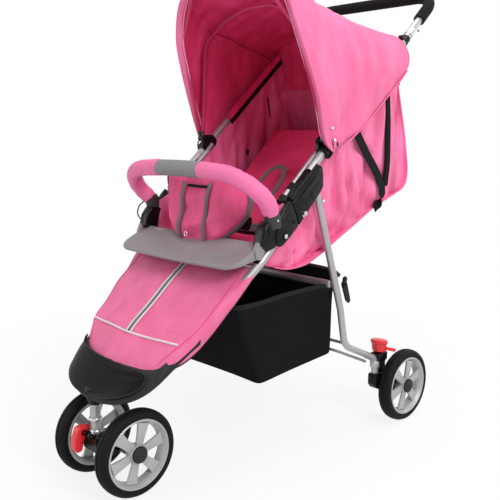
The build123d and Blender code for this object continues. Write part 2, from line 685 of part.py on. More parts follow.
# --- rear legs ---
HOUSING = [(214, 176), (232, 190), (276, 184), (300, 156), (334, 104), (334, 78), (304, 74), (276, 100),
           (240, 138), (216, 156)]
leg_run = [(0, *LEG_PIVOT), (0, 102, 315), (0, 120, 224), (0, 236, 168)]
for side in (1, -1):
    with BuildPart() as rear_leg:
        add(tube([(side * FRAME_X, y, z) for x, y, z in leg_run], 45, LEG_TUBE, LEG_TUBE - 2 * TUBE_WALL))
        add(pin(*LEG_PIVOT, side * (FRAME_X - 8), side * (FRAME_X + 8), LEG_TUBE))
        add(pin(*LEG_PIVOT, side * 170, side * 220, KNEE_PIN + 2 * GAP), mode=Mode.SUBTRACT)
    save(rear_leg.part, f"rear_leg_{side_of(side)}")
    with BuildPart() as housing:
        add(side_plate(HOUSING, side * 182, side * 208, 5))
        add(tube([(side * FRAME_X, 120, 224), (side * FRAME_X, 236, 168)], 0, LEG_TUBE), mode=Mode.SUBTRACT)
        add(pin(REAR_AXLE_Y, WHEEL_RADIUS, side * 185, side * 215, 10), mode=Mode.SUBTRACT)
        add(side_plate([(266, 186), (284, 182), (282, 196), (268, 196)], side * 190, side * 200))
        add(pin(*PEDAL_PIVOT, side * 180, side * 215, 6), mode=Mode.SUBTRACT)
    save(housing.part, f"wheel_housing_{side_of(side)}")
    with BuildPart() as pedal:
        add(side_plate([(256, 202), (296, 202), (300, 226), (252, 226)], side * 174, side * 216, 3))
        add(side_plate([(260, 206), (292, 206), (296, 227), (256, 227)], side * 177, side * 213),
            mode=Mode.SUBTRACT)
        for x in (182, 203):
            add(side_plate([(268, 203), (266, 190), (270, 186), (280, 186), (284, 190), (282, 203)],
                           side * x, side * (x + 5)))
        add(pin(*PEDAL_PIVOT, side * 182, side * 208, 6 - 2 * GAP))
    save(pedal.part, f"brake_pedal_{side_of(side)}")

rear_reach = REAR_TRACK / 2 + TYRE_WIDTH / 2
with BuildPart() as rear_axles:
    add(pin(REAR_AXLE_Y, WHEEL_RADIUS, 185, 208, 10))
    add(pin(REAR_AXLE_Y, WHEEL_RADIUS, 208, rear_reach, AXLE))
    mirror(about=Plane.YZ)
save(rear_axles.part, "rear_axles")

with BuildPart() as rear_cross_tube:
    add(pin(82, 371, FRAME_X - 8, 8 - FRAME_X, 12))
save(rear_cross_tube.part, "rear_cross_tube")

with BuildPart() as rear_rods:
    add(pin(119, 230, FRAME_X - 8, 8 - FRAME_X, 7))
    add(tube([(187, 229, 155), (158, 140, 198), (-158, 140, 198), (-187, 229, 155)], 18, 7))
    add(side_plate(HOUSING, 182, 208, 5), mode=Mode.SUBTRACT)
    add(side_plate(HOUSING, -182, -208, 5), mode=Mode.SUBTRACT)
save(rear_rods.part, "rear_rods")

with BuildPart() as fold_catch:
    add(side_plate([(92, 376), (96, 382), (106, 381), (110, 372), (122, 334), (116, 328), (108, 336)],
                   203.5, 208.5, 2))
    add(pin(*CATCH_PIVOT, 203.5, 211, 10))
save(fold_catch.part, "fold_catch")
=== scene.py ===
import math

import bmesh
import bpy
from mathutils import Matrix, Vector, noise
from mathutils.bvhtree import BVHTree


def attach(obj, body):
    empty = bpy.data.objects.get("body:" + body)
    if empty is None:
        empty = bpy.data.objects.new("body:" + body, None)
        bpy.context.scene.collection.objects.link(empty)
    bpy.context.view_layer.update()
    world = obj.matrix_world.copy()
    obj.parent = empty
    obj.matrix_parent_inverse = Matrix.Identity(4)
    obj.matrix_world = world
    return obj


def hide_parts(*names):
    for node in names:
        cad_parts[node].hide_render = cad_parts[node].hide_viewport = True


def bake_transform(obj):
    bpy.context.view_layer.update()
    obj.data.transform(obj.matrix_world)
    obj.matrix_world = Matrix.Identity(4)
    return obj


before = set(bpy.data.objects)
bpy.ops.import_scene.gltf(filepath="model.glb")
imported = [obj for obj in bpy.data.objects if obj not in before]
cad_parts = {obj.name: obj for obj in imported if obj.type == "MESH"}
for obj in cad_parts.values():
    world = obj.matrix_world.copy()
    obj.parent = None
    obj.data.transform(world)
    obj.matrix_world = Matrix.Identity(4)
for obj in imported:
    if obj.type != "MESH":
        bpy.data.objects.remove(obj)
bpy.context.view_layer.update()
scene = bpy.context.scene

# ---------------------------------------------------------------- finishes


class Value:
    """A shader socket that takes part in Python arithmetic."""

    def __init__(self, finish, socket):
        self.finish, self.socket = finish, socket

    def math(self, operation, first, second):
        return self.finish.node("ShaderNodeMath", {"operation": operation}, [first, second])

    def __add__(self, other):
        return self.math("ADD", self, other)

    def __radd__(self, other):
        return self.math("ADD", other, self)

    def __sub__(self, other):
        return self.math("SUBTRACT", self, other)

    def __mul__(self, other):
        return self.math("MULTIPLY", self, other)

    def sine(self):
        return self.math("SINE", self, 0.0)


class Finish:
    """One procedural material, built around a Principled shader."""

    def __init__(self, name, colour, roughness, **fixed):
        self.material = bpy.data.materials.new(name)
        self.material.use_nodes = True
        self.tree = self.material.node_tree
        self.shader = self.tree.nodes["Principled BSDF"]
        self.shader.inputs["Base Color"].default_value = (*colour, 1)
        self.shader.inputs["Roughness"].default_value = roughness
        for socket, value in fixed.items():
            self.shader.inputs[socket.replace("_", " ")].default_value = value

    def node(self, kind, settings=None, inputs=(), output=0):
        made = self.tree.nodes.new(kind)
        for name, value in (settings or {}).items():
            setattr(made, name, value)
        pairs = inputs.items() if isinstance(inputs, dict) else enumerate(inputs)
        for key, value in pairs:
            if isinstance(value, Value):
                self.tree.links.new(value.socket, made.inputs[key])
            else:
                made.inputs[key].default_value = value
        return Value(self, made.outputs[output])

    def place(self, scale=(1, 1, 1)):
        spot = self.node("ShaderNodeTexCoord", output="Object")
        return self.node("ShaderNodeMapping", {}, {"Vector": spot, "Scale": scale})

    def axis(self, place, letter):
        return self.node("ShaderNodeSeparateXYZ", {}, {"Vector": place}, output=letter)

    def cloud(self, place, scale, detail=3.0, rough=0.5):
        inputs = {"Vector": place, "Scale": scale, "Detail": detail, "Roughness": rough}
        return self.node("ShaderNodeTexNoise", {}, inputs)

    def shades(self, factor, dark, light):
        return self.node("ShaderNodeMix", {"data_type": "RGBA"}, {0: factor, 6: (*dark, 1), 7: (*light, 1)},
                         output=2)

    def paint(self, value, socket="Base Color"):
        self.tree.links.new(value.socket, self.shader.inputs[socket])

    def relief(self, height, strength, depth):
        bump = self.node("ShaderNodeBump", {}, {"Height": height, "Strength": strength, "Distance": depth})
        self.paint(bump, "Normal")


def tinted(colour, share):
    return tuple(min(1.0, c * share) for c in colour)


def woven(name, colour, shade=0.82, thread=0.0011, sheen=0.1, roughness=0.5, bright=1.12, crumple=1.0,
          shine=0.38, painted_fold_shading=0.0):
    """Woven polyester: fine crossed threads, soft creases and slightly uneven dye, plus, where asked for,
    stretched bands of painted light and shade that stand for the folds.
    """
    cloth = Finish(name, colour, roughness, Sheen_Weight=sheen, Sheen_Roughness=0.45,
                   Specular_IOR_Level=shine)
    cloth.shader.inputs["Sheen Tint"].default_value = (*tinted(colour, 1.6), 1)
    spot = cloth.place()
    turns = 2 * math.pi / thread
    across = (cloth.axis(spot, 0) * turns + cloth.axis(spot, 1) * turns * 0.35).sine()
    up = (cloth.axis(spot, 2) * turns + cloth.axis(spot, 1) * turns * 0.6).sine()
    weave = across * up
    uneven = cloth.cloud(spot, 14, 4)
    fine = cloth.cloud(spot, 260, 2)
    mixed = uneven * 0.75 + fine * 0.25
    if painted_fold_shading:
        # painted light and shade of folds: stretched noise bands lighten and darken the colour
        fold_light_and_shade = cloth.cloud(cloth.place((1, 1, 0.3)), 27, 3, 0.5)
        mixed = mixed * (1 - painted_fold_shading) + ((fold_light_and_shade - 0.5) * 3.2 + 0.5) * painted_fold_shading
    dark = tinted(colour, shade)
    if painted_fold_shading:
        # painted shade: in the hollows of the folds the colour is painted deeper as well as darker
        dark = tuple(c * shade ** power for c, power in zip(colour, (0.5, 1.6, 1.3)))
    cloth.paint(cloth.shades(mixed, dark, tinted(colour, bright)))
    cloth.paint(roughness - 0.08 + fine * 0.16, "Roughness")
    creases = cloth.cloud(cloth.place((1, 1, 0.6)), 26, 5, 0.55)
    cloth.relief(weave * 0.00012 + creases * 0.0028 * crumple + fine * 0.0002, 0.6, 1.0)
    return cloth.material


def moulded(name, colour, roughness=0.45, grain=0.00006, coat=0.0):
    """Moulded plastic with a spark-eroded grain and rubbed patches."""
    plastic = Finish(name, colour, roughness, Coat_Weight=coat, Coat_Roughness=0.12,
                     Specular_IOR_Level=0.4 if max(colour) > 0.1 else 0.08)
    spot = plastic.place()
    pits = plastic.cloud(spot, 900, 2)
    rubbed = plastic.cloud(spot, 22, 4)
    plastic.paint(plastic.shades(rubbed, tinted(colour, 0.85), tinted(colour, 1.15)))
    plastic.paint(roughness - 0.1 + rubbed * 0.2, "Roughness")
    plastic.relief(pits, 0.35, grain)
    return plastic.material


def foam(name, colour, roughness=0.85):
    """Closed-cell foam with open pores at its skin."""
    skin = Finish(name, colour, roughness, Specular_IOR_Level=0.1)
    spot = skin.place()
    pores = skin.cloud(spot, 700, 3, 0.6)
    worn = skin.cloud(spot, 30, 3)
    skin.paint(skin.shades(worn * 0.6 + pores * 0.4, tinted(colour, 0.75), tinted(colour, 1.3)))
    skin.paint(roughness - 0.12 + worn * 0.2, "Roughness")
    skin.relief(pores, 0.5, 0.0004)
    return skin.material


def metal(name, colour, roughness=0.3, brushed=(1, 1, 1), metallic=1.0):
    """Anodised or brushed metal with fine drawn streaks."""
    bare = Finish(name, colour, roughness, Metallic=metallic)
    spot = bare.place(brushed)
    streaks = bare.cloud(spot, 60, 4, 0.6)
    haze = bare.cloud(bare.place(), 12, 3)
    bare.paint(bare.shades(haze * 0.5 + streaks * 0.5, tinted(colour, 0.88), tinted(colour, 1.08)))
    bare.paint(roughness - 0.06 + streaks * 0.14, "Roughness")
    bare.relief(streaks, 0.15, 0.0001)
    return bare.material


def ribbed(name, colour, pitch=0.0016, roughness=0.8):
    """Flat woven webbing with ribs across it."""
    tape = Finish(name, colour, roughness, Sheen_Weight=0.2 if max(colour) > 0.1 else 0.0,
                  Specular_IOR_Level=0.12)
    spot = tape.place()
    turns = 2 * math.pi / pitch
    ribs = (tape.axis(spot, 2) * turns + tape.axis(spot, 1) * turns).sine()
    wear = tape.cloud(spot, 40, 3)
    tape.paint(tape.shades(wear * 0.7 + ribs * 0.15 + 0.15, tinted(colour, 0.7), tinted(colour, 1.25)))
    tape.relief(ribs * 0.0002 + wear * 0.0004, 0.7, 1.0)
    return tape.material


# the fold setting paints the light and shade of folds into these cloths' colour, strongest on the tub's satin
# sides
PINK = (0.80, 0.172, 0.362)
finish = {
    "pink": woven("pink_cloth", PINK, shade=0.74, bright=1.1, sheen=0.15, crumple=1.3, painted_fold_shading=0.3),
    "satin": woven("satin_cloth", (0.78, 0.185, 0.37), shade=0.6, bright=1.3, roughness=0.4, shine=0.4,
                   crumple=1.8, painted_fold_shading=0.7),
    "lining": woven("canopy_lining", (0.84, 0.064, 0.23), shade=0.62, bright=1.15, sheen=0.06, crumple=1.7,
                    painted_fold_shading=0.6),
    # painted shade: a dark magenta so the hoop sleeves and inner seams read as the shade of soft creases
    "hoop_sleeve": woven("hoop_sleeve_painted_shade", (0.52, 0.035, 0.12), sheen=0.0, shine=0.2),
    "shell_inside": woven("tub_lining", (0.92, 0.2, 0.44), shade=0.6, bright=1.2, sheen=0.12, crumple=1.5,
                          painted_fold_shading=0.55),
    "magenta": woven("seat_cloth", (0.90, 0.055, 0.2), shade=0.7, thread=0.0014, crumple=1.4, sheen=0.08),
    "sleeve": woven("bumper_cloth", (0.84, 0.172, 0.38), thread=0.0009, crumple=0.45),
    "pouch": woven("pouch_cloth", (0.72, 0.09, 0.25), shade=0.55, bright=1.25, thread=0.001, crumple=1.9,
                   sheen=0.12, painted_fold_shading=0.35),
    "black_cloth": woven("basket_cloth", (0.0075, 0.0076, 0.0084), sheen=0.0, bright=1.4, roughness=0.9,
                         shine=0.06),
    "bracket": moulded("bracket_plastic", (0.05, 0.048, 0.052), 0.4),
    "tray_mark": moulded("tray_mark_plastic", (0.5, 0.49, 0.5), 0.4),
    "hem": ribbed("basket_hem", (0.016, 0.0155, 0.016)),
    "piping": woven("pale_piping", (0.86, 0.36, 0.53), thread=0.0008, crumple=0.2),
    "white_piping": woven("white_piping", (0.78, 0.72, 0.74), thread=0.0008, crumple=0.2),
    "webbing": ribbed("harness_webbing", (0.16, 0.145, 0.155)),
    "strap": ribbed("black_strap", (0.008, 0.008, 0.009)),
    "tape": ribbed("grey_tape", (0.17, 0.155, 0.165)),
    "black": moulded("hinge_plastic", (0.007, 0.0065, 0.0065), 0.28, coat=0.2),
    "dark": moulded("nose_plastic", (0.03, 0.03, 0.031), 0.45),
    "gloss": moulded("nose_panel_plastic", (0.0022, 0.0022, 0.0025), 0.25, grain=0.00002),
    "nose_lip": moulded("nose_lip_plastic", (0.03, 0.03, 0.031), 0.4),
    "grey": moulded("tray_plastic", (0.25, 0.225, 0.235), 0.42),
    "grey_grip": moulded("bumper_grip_skin", (0.21, 0.205, 0.21), 0.6),
    "red": moulded("red_plastic", (0.72, 0.018, 0.025), 0.35, coat=0.3),
    "foam": foam("handle_foam", (0.010, 0.010, 0.011)),
    "tyre": foam("tyre_rubber", (0.007, 0.007, 0.0075), 0.6),
    "rim": metal("rim_paint", (0.42, 0.42, 0.43), 0.4, metallic=0.3),
    "cap": moulded("hub_cap", (0.03, 0.03, 0.033), 0.5),
    "tube": metal("tube_anodised", (0.43, 0.42, 0.44), 0.36, (1, 0.15, 0.15), metallic=0.6),
    "steel": metal("bright_steel", (0.62, 0.62, 0.63), 0.28, (0.2, 1, 1)),
    "wire": metal("coated_wire", (0.30, 0.30, 0.31), 0.4, metallic=0.6),
    "black_wire": metal("black_wire", (0.03, 0.03, 0.032), 0.45, metallic=0.2),
    "board": woven("board_cover", (0.05, 0.05, 0.053), sheen=0.1),
}

# ---------------------------------------------------------------- helpers


def mm(*point):
    return Vector(point) / 1000


def path(points, side=1):
    """Points in millimetres as a line; side -1 sends them to the stroller's other side."""
    return [mm(side * x, y, z) for x, y, z in points]


def noise_at(x, y, z):
    return noise.noise(Vector((x, y, z)))


def everything(bm):
    return bm.verts[:] + bm.edges[:] + bm.faces[:]


def verts_in(result):
    """The vertices among what a bmesh operator hands back."""
    return [g for g in result["geom"] if isinstance(g, bmesh.types.BMVert)]


def copy_of(node):
    """A bmesh of a CAD solid, in place."""
    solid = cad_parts[node]
    bm = bmesh.new()
    bm.from_mesh(solid.data)
    bmesh.ops.transform(bm, matrix=solid.matrix_world, verts=bm.verts)
    return bm


def piece(name, bm, body, look, replaces=(), smooth=35, round_off=0):
    """Make a finished object of a bmesh and let it ride its body. Subdivisions stay live."""
    bmesh.ops.remove_doubles(bm, verts=bm.verts, dist=1e-6)
    bmesh.ops.recalc_face_normals(bm, faces=bm.faces)
    mesh = bpy.data.meshes.new(name)
    bm.to_mesh(mesh)
    bm.free()
    made = bpy.data.objects.new(name, mesh)
    scene.collection.objects.link(made)
    for material in look if isinstance(look, (list, tuple)) else [look]:
        mesh.materials.append(finish[material])
    if round_off:
        soft = made.modifiers.new("surface", "SUBSURF")
        soft.levels = soft.render_levels = round_off
    for polygon in mesh.polygons:
        polygon.use_smooth = True
    if not round_off:
        mesh.set_sharp_from_angle(angle=math.radians(smooth))
    if body:
        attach(made, body)
    if replaces:
        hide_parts(*replaces)
    return made


def thicken(made, depth, inner=None):
    """Give a sheet its thickness, inwards; inner names the finish of its far side."""
    wall = made.modifiers.new("thickness", "SOLIDIFY")
    wall.thickness, wall.offset = depth / 1000, -1
    if inner:
        made.data.materials.append(finish[inner])
        wall.material_offset = wall.material_offset_rim = 1
    return made


def curve_through(points, count):
    """Catmull-Rom points through the given ones, evenly spaced by count per run."""
    ends = [2 * points[0] - points[1], *points, 2 * points[-1] - points[-2]]
    found = []
    for a, b, c, d in zip(ends, ends[1:], ends[2:], ends[3:]):
        for step in range(count):
            t = step / count
            found.append(0.5 * (2 * b + (c - a) * t + (2 * a - 5 * b + 4 * c - d) * t * t
                                + (3 * b - a - 3 * c + d) * t ** 3))
    return [*found, points[-1].copy()]


def along(points, share):
    """The point at a share of the length of a polyline."""
    lengths = [(b - a).length for a, b in zip(points, points[1:])]
    left = share * sum(lengths)
    for a, b, length in zip(points, points[1:], lengths):
        if left <= length and length > 0:
            return a.lerp(b, left / length)
        left -= length
    return points[-1].copy()


def rod(points, radius, smooth=6, closed=False, sides=3):
    """A bmesh tube along a smooth line."""
    line = bpy.data.curves.new("line", "CURVE")
    line.dimensions = "3D"
    run = curve_through([Vector(p) for p in points], smooth) if smooth > 1 else [Vector(p) for p in points]
    if closed:
        run = run[:-1]
    spline = line.splines.new("POLY")
    spline.points.add(len(run) - 1)
    for spot, point in zip(spline.points, run):
        spot.co = (*point, 1)
    spline.use_cyclic_u = closed
    line.bevel_depth, line.bevel_resolution, line.use_fill_caps = radius / 1000, sides, True
    holder = bpy.data.objects.new("line", line)
    scene.collection.objects.link(holder)
    mesh = bpy.data.meshes.new_from_object(holder.evaluated_get(bpy.context.evaluated_depsgraph_get()))
    bm = bmesh.new()
    bm.from_mesh(mesh)
    bpy.data.objects.remove(holder)
    bpy.data.curves.remove(line)
    bpy.data.meshes.remove(mesh)
    return bm


def join(target, other):
    """Add one bmesh to another."""
    mesh = bpy.data.meshes.new("joined")
    other.to_mesh(mesh)
    other.free()
    target.from_mesh(mesh)
    bpy.data.meshes.remove(mesh)
    return target


def mirrored(bm):
    """Add the copy on the stroller's other side."""
    copy = bmesh.ops.duplicate(bm, geom=everything(bm))
    faces = [g for g in copy["geom"] if isinstance(g, bmesh.types.BMFace)]
    bmesh.ops.scale(bm, vec=(-1, 1, 1), verts=verts_in(copy))
    bmesh.ops.reverse_faces(bm, faces=faces)
    return bm


def sheet_of(rows, columns, spot):
    """A grid sheet whose corner-to-corner shares u, v are sent to spot(u, v)."""
    bm = bmesh.new()
    bmesh.ops.create_grid(bm, x_segments=columns, y_segments=rows, size=0.5)
    for vert in bm.verts:
        vert.co = spot(vert.co.x + 0.5, vert.co.y + 0.5)
    return bm


def closed_skin(rows, around, spot):
    """A skin rolled from a grid: u once round, v from end to end, both ends capped."""
    bm = sheet_of(rows, around, lambda u, v: spot(u % 1.0 if u < 1 - 1e-6 else 0.0, v))
    bmesh.ops.remove_doubles(bm, verts=bm.verts, dist=1e-7)
    bmesh.ops.holes_fill(bm, edges=[e for e in bm.edges if e.is_boundary], sides=0)
    bmesh.ops.recalc_face_normals(bm, faces=bm.faces)
    return bm


def slab(outline, x0, x1):
    """A plate cut to a Y, Z outline between two X planes, in millimetres."""
    bm = bmesh.new()
    face = bm.faces.new([bm.verts.new(mm(x0, y, z)) for y, z in outline])
    bulk = bmesh.ops.extrude_face_region(bm, geom=[face])
    bmesh.ops.translate(bm, vec=mm(x1 - x0, 0, 0), verts=verts_in(bulk))
    bmesh.ops.recalc_face_normals(bm, faces=bm.faces)
    return bm


def disc(centre, radius, x0, x1, sides=24, taper=1.0):
    """A round button or pin along X."""
    bm = bmesh.new()
    bmesh.ops.create_cone(bm, cap_ends=True, segments=sides, radius1=radius / 1000,
                          radius2=radius * taper / 1000,
                          depth=abs(x1 - x0) / 1000)
    turn = Matrix.Rotation(math.radians(90 if x1 > x0 else -90), 4, "Y")
    bmesh.ops.transform(bm, matrix=Matrix.Translation(mm((x0 + x1) / 2, *centre)) @ turn, verts=bm.verts)
    return bm


def finish_node(names, material):
    """A CAD solid keeps its shape and gets its material."""
    for name in names:
        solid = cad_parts[name]
        for index in range(len(solid.material_slots)):
            solid.material_slots[index].material = finish[material]


def lathe(profile, centre, axis="X", sides=96):
    """A ring about an axis through centre, of a closed profile of (place along the axis, radius), in mm."""
    bm = bmesh.new()
    if axis == "X":
        first = [bm.verts.new(mm(place, centre[0], centre[1] + radius)) for place, radius in profile]
        middle, spin = mm(0, *centre), (1, 0, 0)
    else:
        first = [bm.verts.new(mm(centre[0] + radius, centre[1], place)) for place, radius in profile]
        middle, spin = mm(*centre, 0), (0, 0, 1)
    loop = [bm.edges.new(pair) for pair in zip(first, first[1:] + first[:1])]
    bmesh.ops.spin(bm, geom=first + loop, cent=middle, axis=spin, angle=2 * math.pi, steps=sides,
                   use_merge=True)
    bmesh.ops.remove_doubles(bm, verts=bm.verts, dist=1e-6)
    bmesh.ops.recalc_face_normals(bm, faces=bm.faces)
    return bm


def box(x0, x1, y0, y1, z0, z1, edge=0.0):
    """A block between millimetre limits; edge rounds its edges."""
    bm = bmesh.new()
    bmesh.ops.create_cube(bm, size=1)
    for vert in bm.verts:
        vert.co = mm((x0 + x1) / 2 + vert.co.x * (x1 - x0), (y0 + y1) / 2 + vert.co.y * (y1 - y0),
                     (z0 + z1) / 2 + vert.co.z * (z1 - z0))
    if edge:
        bmesh.ops.bevel(bm, geom=bm.edges[:], offset=edge / 1000, segments=3, affect="EDGES", profile=0.5,
                        material=-1)
    return bm


def rounded(bm, edge, segments=3, angle=30):
    """Round the corners of a bmesh that are sharper than the angle."""
    sharp = [e for e in bm.edges if len(e.link_faces) == 2 and e.calc_face_angle() > math.radians(angle)]
    bmesh.ops.bevel(bm, geom=sharp, offset=edge / 1000, segments=segments, affect="EDGES", profile=0.5,
                    material=-1, clamp_overlap=True)
    return bm


def ridge(point, start, end, width, depth):
    """The height, in metres, of a soft fold that runs from start to end and dies out sideways.

    The point is in metres; start, end, width and depth are in millimetres.
    """
    a, b = mm(*start), mm(*end)
    run = b - a
    t = (point - a).dot(run) / run.length_squared
    off = (point - a - run * max(0.0, min(1.0, t))).length * 1000
    fade = max(0.0, 1 - max(0.0, -t, t - 1) * 4)
    return depth / 1000 * math.exp(-(off / width) ** 2) * fade


def puffed(bm, held, pressure=4.0, cap=12, voxel=0.005):
    """Blow a closed case up with the cloth solver; held(point) is high on seams and 0 where cloth is free."""
    mesh = bpy.data.meshes.new("case")
    bm.to_mesh(mesh)
    bm.free()
    case = bpy.data.objects.new("case", mesh)
    scene.collection.objects.link(case)
    even = case.modifiers.new("even", "REMESH")
    even.mode, even.voxel_size = "VOXEL", voxel
    case.data = bpy.data.meshes.new_from_object(case.evaluated_get(bpy.context.evaluated_depsgraph_get()))
    case.modifiers.clear()
    start = [v.co.copy() for v in case.data.vertices]
    group = case.vertex_groups.new(name="held")
    for index, point in enumerate(start):
        weight = held(point)
        if weight > 0:
            group.add([index], weight, "REPLACE")
    solver = case.modifiers.new("cloth", "CLOTH")
    cloth = solver.settings
    cloth.quality, cloth.mass = 5, 0.3
    cloth.tension_stiffness = cloth.compression_stiffness = 12
    cloth.shear_stiffness, cloth.bending_stiffness = 6, 0.4
    cloth.use_pressure, cloth.uniform_pressure_force = True, pressure
    cloth.effector_weights.gravity = 0
    cloth.vertex_group_mass = "held"
    solver.point_cache.frame_start, solver.point_cache.frame_end = 1, 20
    for step in range(1, 21):
        scene.frame_set(step)
    blown = bpy.data.meshes.new_from_object(case.evaluated_get(bpy.context.evaluated_depsgraph_get()))
    ends = [v.co.copy() for v in blown.vertices]
    scene.frame_set(1)
    case.modifiers.clear()
    for vert, here, there in zip(case.data.vertices, start, ends):
        move = there - here
        vert.co = here + move * min(1.0, cap / 1000 / max(move.length, 1e-9))
    result = bmesh.new()
    result.from_mesh(case.data)
    bpy.data.objects.remove(case)
    return result


FRAME_X = 195
HANDLE_SLOPE = 0.8785
# thickness of the outer cloth
CLOTH = 1.6


def handle_z(y):
    return 656 + HANDLE_SLOPE * (y - 15)


# ---------------------------------------------------------------- hard parts kept from the solids

finish_node(["front_tube_left", "front_tube_right", "rear_leg_left", "rear_leg_right", "handle_tube",
             "seat_side_tubes", "seat_front_bar", "caster_stem"], "tube")
finish_node(["front_axle", "rear_axles", "knee_pins", "leg_pins", "knee_plates", "bumper_bar"], "steel")
finish_node(["rear_rods", "rear_cross_tube"], "wire")
finish_node(["canopy_front_hoop", "canopy_middle_hoop"], "black_wire")
finish_node(["caster_block", "caster_socket", "wheel_housing_left", "wheel_housing_right", "canopy_clips",
             "bumper_brackets", "fold_catch", "hinge_cover_lower_left", "hinge_cover_lower_right",
             "hinge_cover_upper_left", "hinge_cover_upper_right"], "black")
finish_node(["swivel_lock_lever", "brake_pedal_left", "brake_pedal_right"], "red")
finish_node(["handle_grip"], "foam")
finish_node(["nose_cover"], "dark")
finish_node(["nose_panel"], "gloss")
finish_node(["seat_tray"], "grey")
finish_node(["bumper_middle_grip"], "grey_grip")
finish_node(["seat_board", "backrest_board"], "board")
for side in ("left", "right"):
    for end in ("front", "rear"):
        finish_node([f"{end}_{side}_wheel_tyre"], "tyre")
        finish_node([f"{end}_{side}_wheel_rim"], "rim")
        finish_node([f"{end}_{side}_wheel_cap"], "cap")
finish_node(["canopy_cloth", "seat_tub", "leg_cover", "crotch_panel", "bumper_sleeves"], "pink")
finish_node(["seat_pad", "backrest_pad"], "magenta")
finish_node(["harness"], "webbing")
finish_node(["basket"], "black_cloth")

# ---------------------------------------------------------------- canopy

# half ribs from the left foot up to the crown; each is a bow of cloth from front to back
PIPED_EDGE = [(206, 62, 674), (203, 44, 692), (200, 32, 722), (190, -5, 815), (183, -29, 880),
              (175, -45, 930), (155, -54, 990), (110, -66, 1034), (50, -72, 1052), (0, -73, 1056)]
ROLLED_EDGE = [(214, 62, 672), (217, 38, 688), (217, 22, 722), (210, -15, 815), (202, -40, 880),
               (193, -57, 932), (170, -68, 1000), (118, -80, 1046), (52, -86, 1064), (0, -87, 1067)]
CANOPY_RIBS = [
    ROLLED_EDGE,
    [(211, 72, 678), (216, 50, 715), (218, 25, 770), (214, 3, 840), (207, -10, 890), (197, -20, 938),
     (172, -28, 993), (120, -34, 1030), (56, -38, 1046), (0, -39, 1049)],
    [(208, 110, 699), (213, 80, 750), (214, 58, 810), (210, 42, 870), (203, 34, 910), (192, 31, 948),
     (166, 30, 984), (120, 30, 1010), (58, 30, 1023), (0, 30, 1026)],
    [(208, 178, 744), (213, 160, 790), (213, 143, 835), (209, 128, 882), (202, 120, 914), (188, 115, 942),
     (160, 112, 968), (115, 110, 990), (56, 108, 1002), (0, 107, 1006)],
    [(208, 244, 796), (214, 234, 830), (215, 224, 862), (211, 215, 896), (203, 210, 918), (188, 206, 938),
     (158, 203, 956), (112, 200, 972), (56, 198, 981), (0, 198, 984)],
    [(208, 298, 838), (214, 314, 862), (214, 320, 884), (210, 316, 905), (203, 306, 922), (186, 301, 936),
     (156, 297, 944), (112, 294, 952), (56, 292, 957), (0, 292, 959)],
]
RIB_STEPS = 36


def bow(half):
    """The whole bow, from the left foot over the crown to the right foot, in metres."""
    left = path(half)
    right = [Vector((-p.x, p.y, p.z)) for p in reversed(left[:-1])]
    line = curve_through(left + right, 8)
    return [along(line, i / (2 * RIB_STEPS)) for i in range(2 * RIB_STEPS + 1)]


def pulled_forward(point):
    """The foot of the left front corner hangs a little further forward than the right one."""
    if point.x < 0:
        return point
    share = math.exp(-((point.z - 0.70) / 0.062) ** 2) * max(0.0, min(1.0, (0.13 - point.y) / 0.08))
    return point + mm(0, -20 * share, -3 * share)


ribs = [bow(rib) for rib in CANOPY_RIBS]
front_edge = [pulled_forward(p) for p in ribs[0]]
piped = [pulled_forward(p) for p in bow(PIPED_EDGE)]
SPAN = 8
warp = [curve_through([rib[i] for rib in ribs], SPAN) for i in range(2 * RIB_STEPS + 1)]
rows = len(warp[0]) - 1


# creases on each flank, from the clip and along the hem: (start y, z), (end y, z), width, height
CANOPY_FOLDS = [((48, 720), (150, 880), 8, 3.2), ((52, 716), (210, 850), 8, -3),
                ((60, 800), (180, 940), 11, 3.4), ((10, 820), (60, 980), 12, -3.2),
                ((150, 905), (290, 925), 9, 3.5), ((180, 880), (300, 880), 8, -3),
                ((250, 830), (300, 900), 9, 3), ((-10, 860), (20, 1000), 10, 2.6),
                ((110, 760), (250, 870), 7, 2.6)]


def canopy_spot(u, v):
    """u runs from foot to foot, v from the rolled front edge to the back."""
    i, j = round(u * 2 * RIB_STEPS), round(v * rows)
    point = pulled_forward(warp[i][j].copy())
    slack = math.sin(math.pi * min(1, v * 1.02)) ** 0.7
    height = abs(u - 0.5) * 2
    ripple = noise_at(u * 9, v * 3.1, 1.7) * 0.0085 + noise_at(u * 6, v * 15, 4.2) * 0.0062
    for start, end, wide, deep in CANOPY_FOLDS:
        mirror_point = Vector((0, point.y, point.z))
        ripple += ridge(mirror_point, (0, *start), (0, *end), wide, deep) * min(1, height * 1.6)
    side = Vector((math.copysign(1, point.x) * height, 0, 1 - height)).normalized()
    return point + side * ripple * slack


canopy_sheet = sheet_of(rows, 2 * RIB_STEPS, canopy_spot)
border_points = [v for v in canopy_sheet.verts if any(e.is_boundary for e in v.link_edges)]
turned_in = []
for vert in border_points:
    for start, end in zip(front_edge, piped):
        if (vert.co - start).length < 2e-3:
            turned_in.append((vert, end))
            break
front_border = [e for e in canopy_sheet.edges
                if e.is_boundary and all(any(v == t[0] for t in turned_in) for v in e.verts)]
turned_edge = bmesh.ops.extrude_edge_only(canopy_sheet, edges=front_border)
for vert in verts_in(turned_edge):
    nearest = min(range(len(piped)), key=lambda i: (front_edge[i] - vert.co).length)
    vert.co = piped[nearest]
canopy = piece("canopy_shell", canopy_sheet, None, "pink", ["canopy_cloth"], round_off=1)
thicken(canopy, CLOTH, "lining")
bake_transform(canopy)

